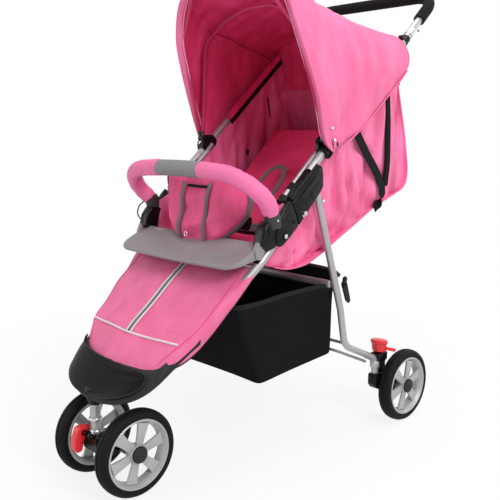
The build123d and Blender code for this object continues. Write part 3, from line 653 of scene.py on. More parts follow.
# pale piping along the front edge, and a hem round the lower edges
edge_line = [p + Vector((0, -0.0012, 0)) for p in piped[::3]]
piece("canopy_piping", rod(edge_line, 1.4, 3), "canopy_front", "piping")
hem_line = rod(path([(212, 60, 670), (211, 84, 684), (210, 112, 700), (210, 150, 724), (210, 196, 757),
                            (210, 246, 797), (211, 286, 829), (214, 312, 856)]), 1.8, 4)
hem = piece("canopy_hem", mirrored(hem_line), None, "pink")
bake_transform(hem)


# inside, the seam between the flank and the crown, a rod of the dark sleeve cloth that paints a line of shade
crown_seam = rod(path([(173, 30, 957), (175, 47, 954), (176, 98, 945), (183, 162, 929), (193, 229, 916),
                                   (199, 284, 904)]), 1.7, 5)
crown_seams = piece("canopy_inner_seams", mirrored(crown_seam), None, "hoop_sleeve")
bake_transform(crown_seams)


def studs(name, places, radius, body, material="steel"):
    """Domed rivets with their axes along X, one on each side."""
    bm = bmesh.new()
    for x, y, z in places:
        for side in (1, -1):
            join(bm, disc((y, z), radius, side * (x - 1.5), side * (x + 1), 20))
            join(bm, disc((y, z), radius, side * (x + 1), side * (x + 2.2), 20, 0.55))
    return piece(name, bm, body, material)


studs("canopy_rivets", [(214, 48, 697), (217, 36, 722)], 3.4, "canopy_front")

# the curtain that closes the back, from the last rib down to the tub
last_rib = ribs[-1]


def curtain_spot(u, v):
    top = last_rib[round(u * 2 * RIB_STEPS)]
    side = 1 - 2 * u
    foot = mm(side * 196, 317 - 6 * abs(side), 824)
    point = top.lerp(foot, v)
    slack = math.sin(math.pi * v)
    folds = math.sin(side * 21 + 1.1 * math.sin(v * 5)) * 0.0032 * (1 - abs(side) ** 3)
    return point + Vector((0, (folds - 0.004 + noise_at(side * 4, v * 3, 6) * 0.006) * slack, 0))


curtain = piece("canopy_curtain", sheet_of(20, 2 * RIB_STEPS, curtain_spot), "handle", "lining",
                round_off=1)
thicken(curtain, 1.4)

# each hoop runs in a sleeve of the lining, a little wider than the bow itself; the sleeve's dark colour is
# painted shade of a crease
HOOP_SLEEVE_GROWTH = 0.0014
HOOP_SLEEVE_FOOT = 716
for name, node, body in (("front_hoop_sleeve", "canopy_front_hoop", "canopy_front"),
                         ("middle_hoop_sleeve", "canopy_middle_hoop", "canopy_middle")):
    casing = copy_of(node)
    casing.normal_update()
    for vert in casing.verts:
        vert.co += vert.normal * HOOP_SLEEVE_GROWTH
    bmesh.ops.bisect_plane(casing, geom=everything(casing), plane_co=mm(0, 0, HOOP_SLEEVE_FOOT),
                           plane_no=(0, 0, -1), clear_outer=True)
    piece(name, casing, body, "hoop_sleeve", smooth=50)

# ---------------------------------------------------------------- seat tub

TUB_HALF = 188.5
# how far out the side may reach, in metres, beside the hinge and where the rear leg passes
HINGE_LIMIT = 0.1925
LEG_LIMIT = 0.191
TUB_PROFILE = [(-132, 470), (-128, 449), (-96, 436), (-63, 428), (-28, 427), (8, 432), (34, 442), (60, 453),
               (102, 474), (165, 504), (229, 534), (280, 551), (328, 567), (352, 576), (367, 592),
               (370, 625), (364, 660), (357, 694), (348, 728), (338, 761), (326, 800), (315, 838)]


def tub_rim(share):
    """The upper edge of a side: along the underside of the tubes, from the front to the back."""
    y = -129 + share * 437
    return y, handle_z(y) - 9 if y > -60 else 581 - (-60 - y) * 0.5


def tub_side(side):
    low = curve_through([mm(0, y, z) for y, z in TUB_PROFILE], 6)

    def spot(u, v):
        bottom = along(low, u)
        y, z = tub_rim(u)
        top = mm(0, y, z)
        point = bottom.lerp(top, v)
        # the side hangs just inside the tubes and draws in towards the seat's floor
        width = TUB_HALF / 1000 - 0.016 * (1 - v) ** 1.6 * (1 - u * 0.55)
        if u < 0.42:
            width -= 0.012 * math.sin(math.pi * min(1, (0.42 - u) / 0.42)) * (1 - v * 0.5)
        wave = math.sin(point.y * 132 + 1.6 * math.sin(point.z * 19 + point.y * 9))
        fold = wave * 0.0052 * (1 - abs(2 * v - 0.9) ** 2 * 0.6)
        fold += noise_at(point.y * 17, point.z * 5, 3.3 + side) * 0.009 * min(1, 3 * v, 4 * (1 - v) + 0.2)
        if u > 0.62:
            fold *= 0.4
        crumple = noise_at(point.y * 24, point.z * 21, 9.1) * 0.022 * max(0, 1 - v * 1.25)
        crumple *= min(1, max(0, (0.56 - u) * 8))
        for start, end, wide, deep in TUB_FOLDS:
            crumple += ridge(point, (0, *start), (0, *end), wide, deep)
        reach = width + fold * 1.35 + crumple * 1.25
        if point.y < 0.035 and point.z > 0.5:
            reach = min(reach, HINGE_LIMIT)
        # where the rear leg swings past, the folds are flatter, though the leg still touches some
        if point.y < 0.16:
            reach -= max(0.0, reach - LEG_LIMIT) * 0.85 * min(1, (0.16 - point.y) * 25)
        return Vector((side * reach, point.y, point.z))

    return sheet_of(44, 130, spot)


# gathers under the hinge, and soft pulls towards the recline strap
TUB_FOLDS = [((-40, 522), (-62, 448), 9, 8.25), ((-14, 545), (-18, 455), 8, -7.5),
             ((6, 560), (22, 462), 9, 9), ((30, 560), (58, 474), 8, -6.75),
             ((-70, 515), (-104, 452), 8, 6.75), ((-4, 500), (-30, 436), 6, 6),
             ((150, 705), (96, 560), 12, -6), ((178, 660), (150, 520), 11, 6),
             ((248, 800), (262, 600), 9, 5.25), ((300, 790), (352, 640), 14, -5.25),
             ((92, 640), (84, 500), 10, -6), ((118, 690), (128, 500), 9, 5.25)]
walls = {}
for side, hand in ((1, "left"), (-1, "right")):
    wall_shape = tub_side(side)
    walls[side] = BVHTree.FromBMesh(wall_shape)
    wall = piece(f"tub_side_{hand}", wall_shape, None, "satin",
                 ["seat_tub"] if side == 1 else [], round_off=1)
    thicken(wall, 1.4, "shell_inside")
    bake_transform(wall)


def tub_back(u, v):
    """The back and floor of the tub in one width of cloth, from the front edge to the top of the back."""
    low = curve_through([mm(0, y, z) for y, z in TUB_PROFILE], 6)
    point = along(low, v)
    half = 0.1725 + 0.014 * min(1, v * 1.4)
    x = (u - 0.5) * 2 * half
    sag = (1 - (2 * u - 1) ** 2) * 0.008
    wave = noise_at(x * 11, v * 9, 2.2) * 0.005 * (1 - abs(2 * u - 1) ** 4)
    return Vector((x, point.y + wave * 0.7, point.z - sag * (1 - v) + wave))


tub_floor = piece("tub_back", sheet_of(90, 30, tub_back), None, "pink", round_off=1)
thicken(tub_floor, 1.4, "shell_inside")
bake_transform(tub_floor)

tub_edge = []
for y, z in TUB_PROFILE[2:-1]:
    share = (y + 132) / 447
    tub_edge.append(mm(TUB_HALF - 16 * (1 - min(1, share * 1.5) * 0.6) + 1.5, y, z))
piece("tub_piping", mirrored(rod(tub_edge, 1.7, 5)), "handle", "pink")


def on_side(side, y, z, lift):
    """A point lying on the outside of the tub's side wall."""
    found = walls[side].ray_cast(mm(side * 400, y, z), Vector((-side, 0, 0)))[0]
    return Vector((found.x if found else side * 0.185, y / 1000, z / 1000)) + mm(side * lift, 0, 0)


ZIP_LINE = [(264, 806), (269, 775), (275, 735), (278, 690), (278, 640), (274, 586)]
zipper = bmesh.new()
zip_tapes = bmesh.new()
for side in (1, -1):
    run = [on_side(side, y, z, 2.6) for y, z in ZIP_LINE]
    flat = max(abs(p.x) for p in run)
    run = [Vector((side * (flat * 0.6 + abs(p.x) * 0.4), p.y, p.z)) for p in run]
    join(zipper, rod(run, 2.6, 5))
    for shift in (-5.5, 5.5):
        join(zip_tapes, rod([p + mm(-side * 0.9, shift, 0) for p in run], 3.3, 5))
piece("tub_zip", zipper, "handle", "hem")
piece("tub_zip_tapes", zip_tapes, "handle", "strap")


def band(points, width, thickness, across):
    """A flat strap along a smooth line; across is the direction of its width."""
    run = curve_through([Vector(p) for p in points], 8)
    wide = Vector(across).normalized()

    def spot(u, v):
        index = round(v * (len(run) - 1))
        tangent = (run[min(index + 1, len(run) - 1)] - run[max(index - 1, 0)]).normalized()
        return run[index] + (wide - tangent * wide.dot(tangent)).normalized() * (u - 0.5) * width / 1000

    bm = sheet_of(len(run) - 1, 2, spot)
    bmesh.ops.recalc_face_normals(bm, faces=bm.faces)
    bmesh.ops.solidify(bm, geom=bm.faces[:], thickness=thickness / 1000)
    bmesh.ops.recalc_face_normals(bm, faces=bm.faces)
    return bm


RECLINE_LINE = [(138, 734), (154, 711), (176, 684), (198, 657), (222, 632), (243, 606), (255, 584),
                (256, 562), (246, 546), (230, 535)]
recline = bmesh.new()
for side in (1, -1):
    run = [on_side(side, y, z, 3) for y, z in RECLINE_LINE]
    reach = max(abs(p.x) for p in run) + 0.001
    taut = [Vector((side * (reach - 0.004 * (n > 7)), p.y, p.z)) for n, p in enumerate(run)]
    join(recline, band(taut, 23, 1.8, (0, 1, 1.1)))
piece("recline_straps", recline, "handle", "strap")

# inside, a black band along the tube is painted shade that stands for the tube in shadow, with a strip of
# lining above it
RISE = Vector((0, -0.66, 0.75))
tube_shade_band, inner_strip = bmesh.new(), bmesh.new()
for side in (1, -1):
    line = [mm(side * 183, y, handle_z(y)) for y in (112, 160, 210, 260, 300)]
    join(tube_shade_band, band([p - RISE * 0.0035 for p in line], 12, 2, RISE))
    join(inner_strip, band([p + RISE * 0.0105 for p in line], 17, 2, RISE))
piece("tube_painted_shade_band", tube_shade_band, "handle", "strap")
piece("canopy_inner_strip", inner_strip, "handle", "lining")
cords = bmesh.new()
for side in (1, -1):
    noose = [mm(side * 209, y, z) for y, z in [(39, 700), (24, 684), (30, 660), (45, 668), (49, 690)]]
    join(cords, rod(noose, 1.6, 6, closed=True))
piece("canopy_cords", cords, "handle", "strap")

# ---------------------------------------------------------------- leg cover

# rows from the tray to the nose: middle y, z; half width; edge y, z; drop of the side wall
COVER_ROWS = [(-170, 452, 194, -170, 446, 14), (-200, 431, 188, -200, 419, 24),
              (-245, 396, 176, -245, 381, 42), (-290, 358, 163, -287, 345, 50),
              (-331, 322, 152, -323, 316, 44), (-353, 299, 146, -338, 296, 29),
              (-371, 277, 137, -350, 279, 13), (-394, 249, 127, -364, 258, 4)]


def cover_row(index):
    ym, zm, half, ye, ze, drop = COVER_ROWS[index]
    left = [mm(half - 9, ye + 4, ze - drop), mm(half + 1, ye, ze - drop * 0.55), mm(half + 1, ye, ze - 7),
             mm(half - 7, ye - 2, ze + 1), mm(half * 0.62, ye * 0.45 + ym * 0.55, ze * 0.4 + zm * 0.6),
             mm(0, ym, zm)]
    return curve_through(left + [Vector((-p.x, p.y, p.z)) for p in reversed(left[:-1])], 8)


COVER_UP = Vector((0, -0.55, 0.83))
cover_rows = [cover_row(i) for i in range(len(COVER_ROWS))]


def cover_spot(u, v, lift=0.0):
    ladder = [along(row, u) for row in cover_rows]
    point = along(curve_through(ladder, 8), v)
    crease = noise_at(point.x * 9, point.y * 12, 5.5) * 0.0065
    crease += noise_at(point.x * 28, point.y * 20, 1.5) * 0.0022
    gather = math.sin(point.x * 95 + 2 * math.sin(point.x * 31)) * 0.0016
    crease += gather * min(1, max(0, (v - 0.74) * 6)) * (1.02 - v) * 6
    return point + COVER_UP * (crease + lift / 1000)


cover_shape = sheet_of(54, 60, cover_spot)
cover_tree = BVHTree.FromBMesh(cover_shape)
cover = piece("leg_cover_cloth", cover_shape, "frame", "pink", ["leg_cover"], round_off=1)
thicken(cover, CLOTH, "shell_inside")
cross_seam = [cover_spot(u / 24, 0.735, 1.2) for u in range(3, 22)]
piece("leg_cover_piping", rod(cross_seam, 2.3, 2), "frame", "white_piping")
for name, x, width, look in (("zip_tape_left", 7.0, 5.0, "white_piping"),
                             ("zip_tape_right", -7.0, 5.0, "white_piping"),
                             ("zip_teeth", 0, 8.4, "tape")):

    def zip_spot(u, v):
        return cover_spot(0.5, 0.02 + v * 0.71, 1.7) + Vector((-(x + (u - 0.5) * width) / 1000, 0, 0))

    strip = sheet_of(40, 3, zip_spot)
    thicken(piece(name, strip, "frame", look), 1.2)
# painted shade: the side seams are rods of the darker pouch cloth, a line of shade along each seam
for share in (0.115, 0.885):
    seam = [cover_spot(share, v / 30, 0.4) for v in range(1, 29)]
    piece(f"leg_cover_seam_{'left' if share < 0.5 else 'right'}", rod(seam, 1.0, 2), "frame", "pouch")
for side in (0, 1):
    lower_edge = [cover_spot(side, v / 20) for v in range(1, 20)]
    piece(f"leg_cover_binding_{'right' if side else 'left'}", rod(lower_edge, 1.6, 2), "frame", "strap")

# ---------------------------------------------------------------- nose

# rings from the cloth's edge out and down: half width, tip y, side z, tip z
NOSE_RINGS = [(128, -377, 268, 252), (131, -382, 274, 257), (135, -387, 275, 256), (138, -394, 270, 248),
              (141, -414, 263, 230), (141, -432, 257, 213), (139, -441, 253, 203), (136, -440, 250, 195),
              (130, -432, 247, 190), (124, -422, 246, 192)]
nose_rings = curve_through([Vector((a, y, z)) for a, y, z, _ in NOSE_RINGS], 3)
nose_tips = curve_through([Vector((t, 0, 0)) for *_, t in NOSE_RINGS], 3)
NOSE_SIDE_Y = -352
# where a wing ends: half width, run back and height
WING_HALF, WING_RUN, WING_TOP = 164, 64, 324


def nose_spot(u, v, lift=0.0):
    """u runs round from the right to the left side, v over the rings."""
    place = v * (len(nose_rings) - 1)
    low = min(int(place), len(nose_rings) - 2)
    half, tip_y, side_z = nose_rings[low].lerp(nose_rings[low + 1], place - low)
    tip_z = nose_tips[low].lerp(nose_tips[low + 1], place - low).x
    turn = (u - 0.5) * 2
    if abs(turn) > 0.8:
        # a wing that runs back up the tube and narrows
        reach = (abs(turn) - 0.8) / 0.2
        x = math.copysign(half + reach * (WING_HALF - half), turn)
        y = NOSE_SIDE_Y + reach * WING_RUN
        z = side_z + reach * (WING_TOP - 15 * v - side_z)
    else:
        angle = turn / 0.8 * math.pi / 2
        x = half * math.copysign(abs(math.sin(angle)) ** 0.92, angle)
        front = math.cos(angle) ** 0.86
        y = NOSE_SIDE_Y + (tip_y - NOSE_SIDE_Y) * front
        z = side_z + (tip_z - side_z) * front
    out = Vector((x * 0.5, (y - NOSE_SIDE_Y) * 0.8, 60)).normalized()
    spot = mm(x, y, z) + out * lift / 1000
    # the upper border lies over the cloth
    cloth, normal, _, gap = cover_tree.find_nearest(spot)
    if v < 0.4 and gap < 0.03:
        normal = normal if normal.dot(COVER_UP) > 0 else -normal
        inside = 0.0022 - (spot - cloth).dot(normal)
        if inside > 0:
            spot += normal * inside * min(1, (0.4 - v) / 0.2)
    return spot


nose = piece("nose_shoe", sheet_of(36, 80, nose_spot), "frame", "dark", ["nose_cover"],
             round_off=1)
thicken(nose, 3)


def inlay_spot(u, v, lift):
    """The inset runs from the right side of the nose to a rounded tip left of the middle."""
    tall = (1 - (u * 0.985) ** 5) ** 0.6
    return nose_spot(0.11 + 0.63 * u, 0.45 + (v - 0.5) * 0.5 * tall, lift)


panel = piece("nose_inlay", sheet_of(16, 48, lambda u, v: inlay_spot(u, v, 5.4)), "frame", "gloss",
              ["nose_panel"],
              round_off=1)
thicken(panel, 2.2)
border = [inlay_spot(u / 24, 0.0, 6.6) for u in range(25)]
border += [inlay_spot(1 - u / 24, 1.0, 6.6) for u in range(25)]
piece("nose_lip", rod(border, 0.9, 2, closed=True), "frame", "nose_lip")

# ---------------------------------------------------------------- basket

BASKET_HEM = [(0, 104, 366), (120, 104, 366), (164, 104, 362), (176, 100, 361), (179, 88, 364),
              (178, 62, 376), (177, 0, 378), (177, -80, 376), (177, -160, 373), (176, -196, 371),
              (170, -204, 370), (120, -205, 369), (0, -205, 366)]
BASKET_FOOT = [(0, 112, 202), (120, 112, 202), (154, 112, 202), (163, 108, 201), (165, 97, 200),
               (165, 60, 198), (165, 0, 194), (165, -60, 190), (165, -112, 186), (163, -124, 185),
               (156, -129, 185), (110, -129, 186), (0, -129, 187)]


def ring(half):
    line = path(half)
    return line + [Vector((-p.x, p.y, p.z)) for p in reversed(line[1:-1])] + [line[0]]


basket_hem, basket_foot = ring(BASKET_HEM), ring(BASKET_FOOT)


hem_lengths = [0.0]
for a, b in zip(basket_hem, basket_hem[1:]):
    hem_lengths.append(hem_lengths[-1] + (b - a).length)


def basket_foot_at(u):
    place = u * hem_lengths[-1]
    for index, (a, b) in enumerate(zip(hem_lengths, hem_lengths[1:])):
        if place <= b or index == len(hem_lengths) - 2:
            return basket_foot[index].lerp(basket_foot[index + 1], (place - a) / max(b - a, 1e-9))


# shares of the sheet that make the walls and the floor
WALL_SHARE, FLOOR_SHARE = 0.66, 0.34


def basket_spot(u, v):
    """u runs round the basket, v from the hem down to the middle of the floor."""
    top, foot = along(basket_hem, u), basket_foot_at(u)
    if v < WALL_SHARE:
        t = v / WALL_SHARE
        point = top.lerp(foot, t)
        outward = Vector((point.x, 0.05 + point.y, 0)).normalized()
        belly = noise_at(point.x * 7, point.y * 7, t * 2.1 + 7) * 0.0045 * math.sin(math.pi * t)
        dip = noise_at(point.x * 11, point.y * 11, 3) * 0.003 * (1 - t) ** 2
        return point + outward * belly + Vector((0, 0, dip))
    t = (v - WALL_SHARE) / FLOOR_SHARE
    middle = mm(0, -10, 184)
    sag = -0.005 * math.sin(math.pi * t / 2) + noise_at(u * 8, t * 3, 2) * 0.002
    return foot.lerp(middle, t) + Vector((0, 0, sag))


basket_bag = piece("basket_bag", sheet_of(48, 150, basket_spot), None, "black_cloth",
                   ["basket"], round_off=1)
thicken(basket_bag, CLOTH)
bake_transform(basket_bag)


def hem_spot(u, v):
    outward = (along(basket_hem, u) - mm(0, -60, 372)).normalized()
    return basket_spot(u, 0.001 + v * 0.034) + outward * 0.0016


hem_band = sheet_of(3, 150, hem_spot)
basket_edge = thicken(piece("basket_hem", hem_band, None, "hem", round_off=1), 2.2)
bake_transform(basket_edge)
# the back flap that hangs the basket from the rear bar


def flap_spot(u, v):
    tall = 28 + 11 * min(1, math.sin(math.pi * u) * 2.2)
    return mm(-182 + 364 * u, 104 + 3 * v, 362 + v * tall)


flap = sheet_of(6, 40, flap_spot)
thicken(piece("basket_flap", flap, "rear_frame", "black_cloth"), 2)
bar = rod(path([(-188, 104, 392), (-150, 107, 401), (0, 107, 403), (150, 107, 401), (188, 104, 392)]), 5, 5)
piece("basket_bar", bar, "rear_frame", "black_wire")
cross = box(-187, 187, 70.5, 79.5, 367, 384, 3.4)
piece("cross_tube", cross, "rear_frame", "tube", ["rear_cross_tube"], smooth=40)

# ---------------------------------------------------------------- wheels

WHEEL_RADIUS = 89
STEM = (0, -426)
TYRE_HALF = [(14, 70.4), (15.4, 73), (14.9, 75.4), (16, 78), (15.3, 82), (12.6, 85.8), (8.5, 88), (3, 88.9),
             (2.2, 87.3)]
TYRE = TYRE_HALF + [(-a, r) for a, r in reversed(TYRE_HALF)]
RIM = [(15.2, 71.2), (16.4, 69.8), (15.8, 67.8), (7.5, 62.6), (4, 60.8), (-9, 60.8), (-13, 64), (-15, 69),
       (-14.4, 71.2)]
HUB = [(-13, 5.2), (-13, 15), (-6, 18.5), (8.5, 19.5), (12.6, 19), (13.4, 17.6), (13.4, 5.2)]
CAP = [(12, 0.02), (12, 17.2), (16.4, 17.2), (18.6, 16.2), (20.4, 12.5), (21.2, 6), (21.4, 0.02)]
SPOKE = [(14, -8.5), (24, -8.5), (42, -10.2), (56, -12), (61.6, -15), (61.6, 15), (56, 12), (42, 10.2),
         (24, 8.5), (14, 8.5)]


def wheel(name, x, y):
    """A foam tyre on a six-spoke disc with a hub cap, seen from outside on both sides of the stroller."""
    out = 1 if x > 0 else -1
    at = (y, WHEEL_RADIUS)

    def turned(profile):
        return lathe([(x + out * a, r) for a, r in profile], at)

    disc_shape = turned(RIM)
    join(disc_shape, turned(HUB))
    for step in range(6):
        arm = rounded(slab([(side, reach) for reach, side in SPOKE], 3.2, 9.4), 1.3, 2, 50)
        for offset in (-3.6, 3.6):
            join(arm, box(8.6, 10.2, offset - 0.7, offset + 0.7, 25, 35, 0.4))
        turn = Matrix.Rotation(-math.radians(15 + 60 * step), 4, "X")
        place = Matrix.Translation(mm(x, y, WHEEL_RADIUS)) @ Matrix.Diagonal((out, 1, 1, 1)) @ turn
        bmesh.ops.transform(arm, matrix=place, verts=arm.verts)
        join(disc_shape, arm)
    bmesh.ops.recalc_face_normals(disc_shape, faces=disc_shape.faces)
    piece(f"{name}_disc", disc_shape, name, "rim", [f"{name}_rim"], smooth=30)
    piece(f"{name}_foam", turned(TYRE), name, "tyre", [f"{name}_tyre"], smooth=50)
    piece(f"{name}_hub", turned(CAP), name, "cap", [f"{name}_cap"], smooth=50)


# each pair of wheels: half the track and the place of its axle
for end, half_track, axle_y in (("front", 74.5, -384), ("rear", 229, 316)):
    for side, hand in ((1, "left"), (-1, "right")):
        wheel(f"{end}_{hand}_wheel", side * half_track, axle_y)

stem_rings = lathe([(147, 10), (147, 12.6), (148.5, 13.4), (151.5, 13.4), (153, 12.6), (153, 10)],
                   STEM, "Z", 48)
join(stem_rings, lathe([(121, 10), (121, 12.4), (127, 12.4), (128, 11.6), (128, 10)], STEM, "Z", 48))
piece("stem_rings", stem_rings, "caster", "steel")

lever = slab([(-441, 136), (-458, 133), (-466, 112), (-468, 92), (-462, 82), (-450, 84), (-446, 100),
              (-440, 118)], -30, -12)
join(rounded(lever, 3), box(-27, -15, -452, -430, 118, 134, 3))
piece("swivel_lever", lever, "swivel_lock", "red", ["swivel_lock_lever"], smooth=40)

PEDAL_X, PEDAL_Y, PEDAL_SLOPE = 195, 258, 0.12
# rear arms: the leg ends in a silver elbow over a black shoe, under the brake pedal
for side, hand in ((1, "left"), (-1, "right")):
    elbow = rod(path([(196, 205, 182), (196, 220, 175), (197, 232, 166), (198, 237, 150), (198, 238, 122)],
                     side), 8.6, 8)
    join(elbow, lathe([(146, 8), (146, 11), (147, 11.6), (160, 11.6), (161, 11), (161, 8)],
                      (side * 198, 237), "Z", 40))
    piece(f"leg_elbow_{hand}", elbow, "rear_frame", "tube")
    shoe = slab([(225, 130), (250, 132), (268, 124), (326, 106), (334, 92), (328, 76), (306, 70), (262, 80),
                 (232, 94), (224, 104)],
                side * 187, side * 210)
    rounded(shoe, 3.5)
    block = slab([(238, 178), (274, 180), (274, 161), (262, 155), (246, 155), (238, 160)], side * 182,
                 side * 210)
    rounded(block, 2.5)
    join(shoe, block)
    join(shoe, box(*sorted((side * 190, side * 206)), 258, 272, 116, 160, 2.5))
    piece(f"wheel_arm_{hand}", shoe, "rear_frame", "black", [f"wheel_housing_{hand}"])
    # pedal: a domed red button with a lip, and its release tab
    x = side * PEDAL_X
    button = lathe([(181, 0.02), (181, 16.2), (184, 17.2), (199, 18.6), (201, 20.6), (205.5, 21.4),
                    (208.5, 20.6), (210.2, 17), (211, 9), (211.2, 0.02)],
                   (x, PEDAL_Y), "Z", 56)
    for vert in button.verts:
        vert.co.z -= (vert.co.y - PEDAL_Y / 1000) * PEDAL_SLOPE
    tab = band(path([(207, 268, 188), (214, 280, 184), (218, 292, 180)], side), 8, 3.4, (0, 0.2, 1))
    piece(f"pedal_button_{hand}", join(button, tab), f"brake_{hand}", "red",
          [f"brake_pedal_{hand}"])

# ---------------------------------------------------------------- folding hinges

UPPER_COVER = [(-77, 572), (-54, 594), (-29, 613), (6, 643), (11, 645), (15, 641), (18, 628), (19, 600),
               (12, 590), (-18, 561), (-40, 540), (-56, 524), (-61, 541)]
LOWER_COVER = [(-112, 484), (-121, 489), (-125, 502), (-120, 520), (-113, 534), (-98, 557), (-84, 571),
               (-79, 570), (-63, 541), (-58, 522), (-78, 506), (-100, 489)]


def raised(points, side, x, radius):
    return rod([mm(side * x, y, z) for y, z in points], radius, 5)


for side, hand in ((1, "left"), (-1, "right")):
    upper = rounded(slab(UPPER_COVER, side * 193, side * 209.5), 2.2)
    # the thick lip along the tube, a long moulded finger bar and two shallow arcs under it
    join(upper, raised([(-75, 577), (-52, 598), (-28, 617), (4, 645)], side, 203, 5.2))
    join(upper, rounded(slab([(-78, 571), (-50, 602), (2, 648), (10, 642), (0, 616), (-60, 560)],
                             side * 180, side * 200), 2))
    join(upper, raised([(-62, 572), (-40, 590), (-15, 611), (6, 629)], side, 208.8, 1.5))
    join(upper, rounded(slab([(-56, 581), (-50, 588), (-6, 624), (-2, 622), (-2, 616), (-46, 579)],
                             side * 206, side * 213), 1.4))
    join(upper, raised([(-52, 562), (-36, 561), (-27, 571), (-14, 574), (-4, 586)], side, 209, 1.4))
    join(upper, raised([(-44, 552), (-26, 566), (-6, 588), (8, 606)], side, 209, 1.2))
    join(upper, box(*sorted((side * 206, side * 211)), -20, -8, 580, 592, 1.5))
    piece(f"hinge_upper_{hand}", upper, "handle", "black", [f"hinge_cover_upper_{hand}"],
          smooth=40)
    lower = rounded(slab(LOWER_COVER, side * 193, side * 209), 2.4)
    join(lower, raised([(-117, 526), (-108, 545), (-95, 562), (-83, 573)], side, 205, 4.4))
    join(lower, raised([(-108, 530), (-97, 549), (-84, 563), (-74, 560)], side, 208.6, 1.3))
    join(lower, raised([(-112, 500), (-104, 524), (-88, 540), (-76, 543)], side, 208.7, 1.1))
    join(lower, disc((-99, 505), 8.5, side * 208, side * 211, 28, 0.9))
    join(lower, disc((-72, 533), 5, side * 208, side * 210.6, 24, 0.9))
    piece(f"hinge_lower_{hand}", lower, "frame", "black", [f"hinge_cover_lower_{hand}"],
          smooth=40)
    # the bumper's socket and the ribbed clamp on the front tube
    socket = rod(path([(199, -133, 560), (199, -127, 546), (199, -124, 524)], side), 17.5, 6)
    bmesh.ops.scale(socket, vec=(0.95, 1, 1), verts=socket.verts,
                    space=Matrix.Translation(-mm(side * 199, -128, 545)))
    piece(f"bumper_socket_{hand}", rounded(socket, 3, 2, 60), "frame", "bracket",
          ["bumper_brackets"] if side == 1 else [], smooth=45)
    clamp = rounded(slab([(-146, 478), (-165, 494), (-158, 520), (-144, 538), (-120, 536), (-104, 522),
                          (-108, 500), (-122, 484)],
                         side * 180, side * 206), 3.5)
    for step in range(4):
        join(clamp, raised([(-158 + step * 12, 505 - step * 3), (-146 + step * 11, 527 - step * 4)], side,
                           206, 1.6))
    join(clamp, disc((-140, 520), 6, side * 205, side * 208.5, 24))
    piece(f"bumper_clamp_{hand}", clamp, "frame", "black", smooth=40)
    # a collar half way down the front tube, and two on the seat tube
    collar = rod(path([(189.5, -150, 458), (187.5, -157, 450)], side), 11.2, 1)
    piece(f"tube_collar_{hand}", collar, "frame", "black")
    for number, (y, z) in enumerate(((-45, 597), (-73, 574))):
        grip = rod(path([(176, y - 7, z - 6), (176, y + 7, z + 6)], side), 10.5, 1)
        join(grip, box(*sorted((side * 172, side * 194)), y - 7, y + 7, z - 5, z + 9, 2))
        piece(f"seat_tube_clip_{hand}_{number}", grip, "handle", "black")
studs("hinge_rivets_upper", [(209.5, -44, 544)], 4.4, "handle")
studs("hinge_rivets_lower", [(211, -99, 505)], 4.6, "frame")
studs("leg_screws", [(206, 24, 568)], 3.6, "rear_frame")
studs("knob_caps", [(209, 99, 386)], 7.5, "rear_frame", "black")
studs("socket_screws", [(215.5, -128, 540)], 2.4, "frame")

# handle: spring buttons and the black clip under the grip
buttons = bmesh.new()
for side in (1, -1):
    for y, z in ((357, 962), (383, 962)):
        join(buttons, disc((y - 10, z - 9), 3.2, side * 200, side * 205.5, 20, 0.7))
    join(buttons, rod([mm(side * FRAME_X, 338, handle_z(338)), mm(side * FRAME_X, 352, handle_z(352))],
                      10.4, 1))
piece("handle_buttons", buttons, "handle", "steel")
keeper = bmesh.new()
for side in (1, -1):
    join(keeper, rod([mm(side * FRAME_X, 318, handle_z(318)), mm(side * FRAME_X, 330, handle_z(330))],
                     11.6, 1))
    join(keeper, box(*sorted((side * 189, side * 201)), 306, 322, 926, 938, 2))
piece("handle_keepers", keeper, "handle", "black")

# ---------------------------------------------------------------- bumper

BUMPER = [(199, -133, 556), (204, -140, 565), (208, -151, 577), (207, -164, 591), (198, -178, 606),
          (178, -191, 621), (148, -200, 632), (100, -206, 637), (50, -209.5, 639)]


def bumper_line(side):
    inner = (72, -207.5, 638) if side == 1 else (55, -209, 639)
    return curve_through(path(BUMPER[:-1] + [inner], side), 8)


def sleeve(side):
    """A padded sleeve with a seam, closed at both ends."""
    line = bumper_line(side)

    def spot(u, v):
        here = along(line, v)
        tangent = (along(line, min(1.0, v + 0.012)) - along(line, max(0.0, v - 0.012))).normalized()
        outward = tangent.cross(Vector((0, 0, 1))).normalized()
        upward = outward.cross(tangent).normalized()
        turn = 2 * math.pi * u
        radius = 0.0148 + 0.0031 * min(1, v * 36, (1 - v) * 36) ** 0.5
        pucker = noise_at(v * 34, math.cos(turn) * 1.6, math.sin(turn) * 1.6 + side * 4) * 0.0012
        pucker += max(0, math.sin(v * 120 + 0.7 * math.sin(turn))) * 0.0005 * max(0, math.cos(turn - 2.6))
        seam = -0.0011 * math.exp(-((turn - 4.2) * 7) ** 2)
        return here + (outward * math.cos(turn) + upward * math.sin(turn)) * (radius + pucker + seam)

    return closed_skin(90, 28, spot)


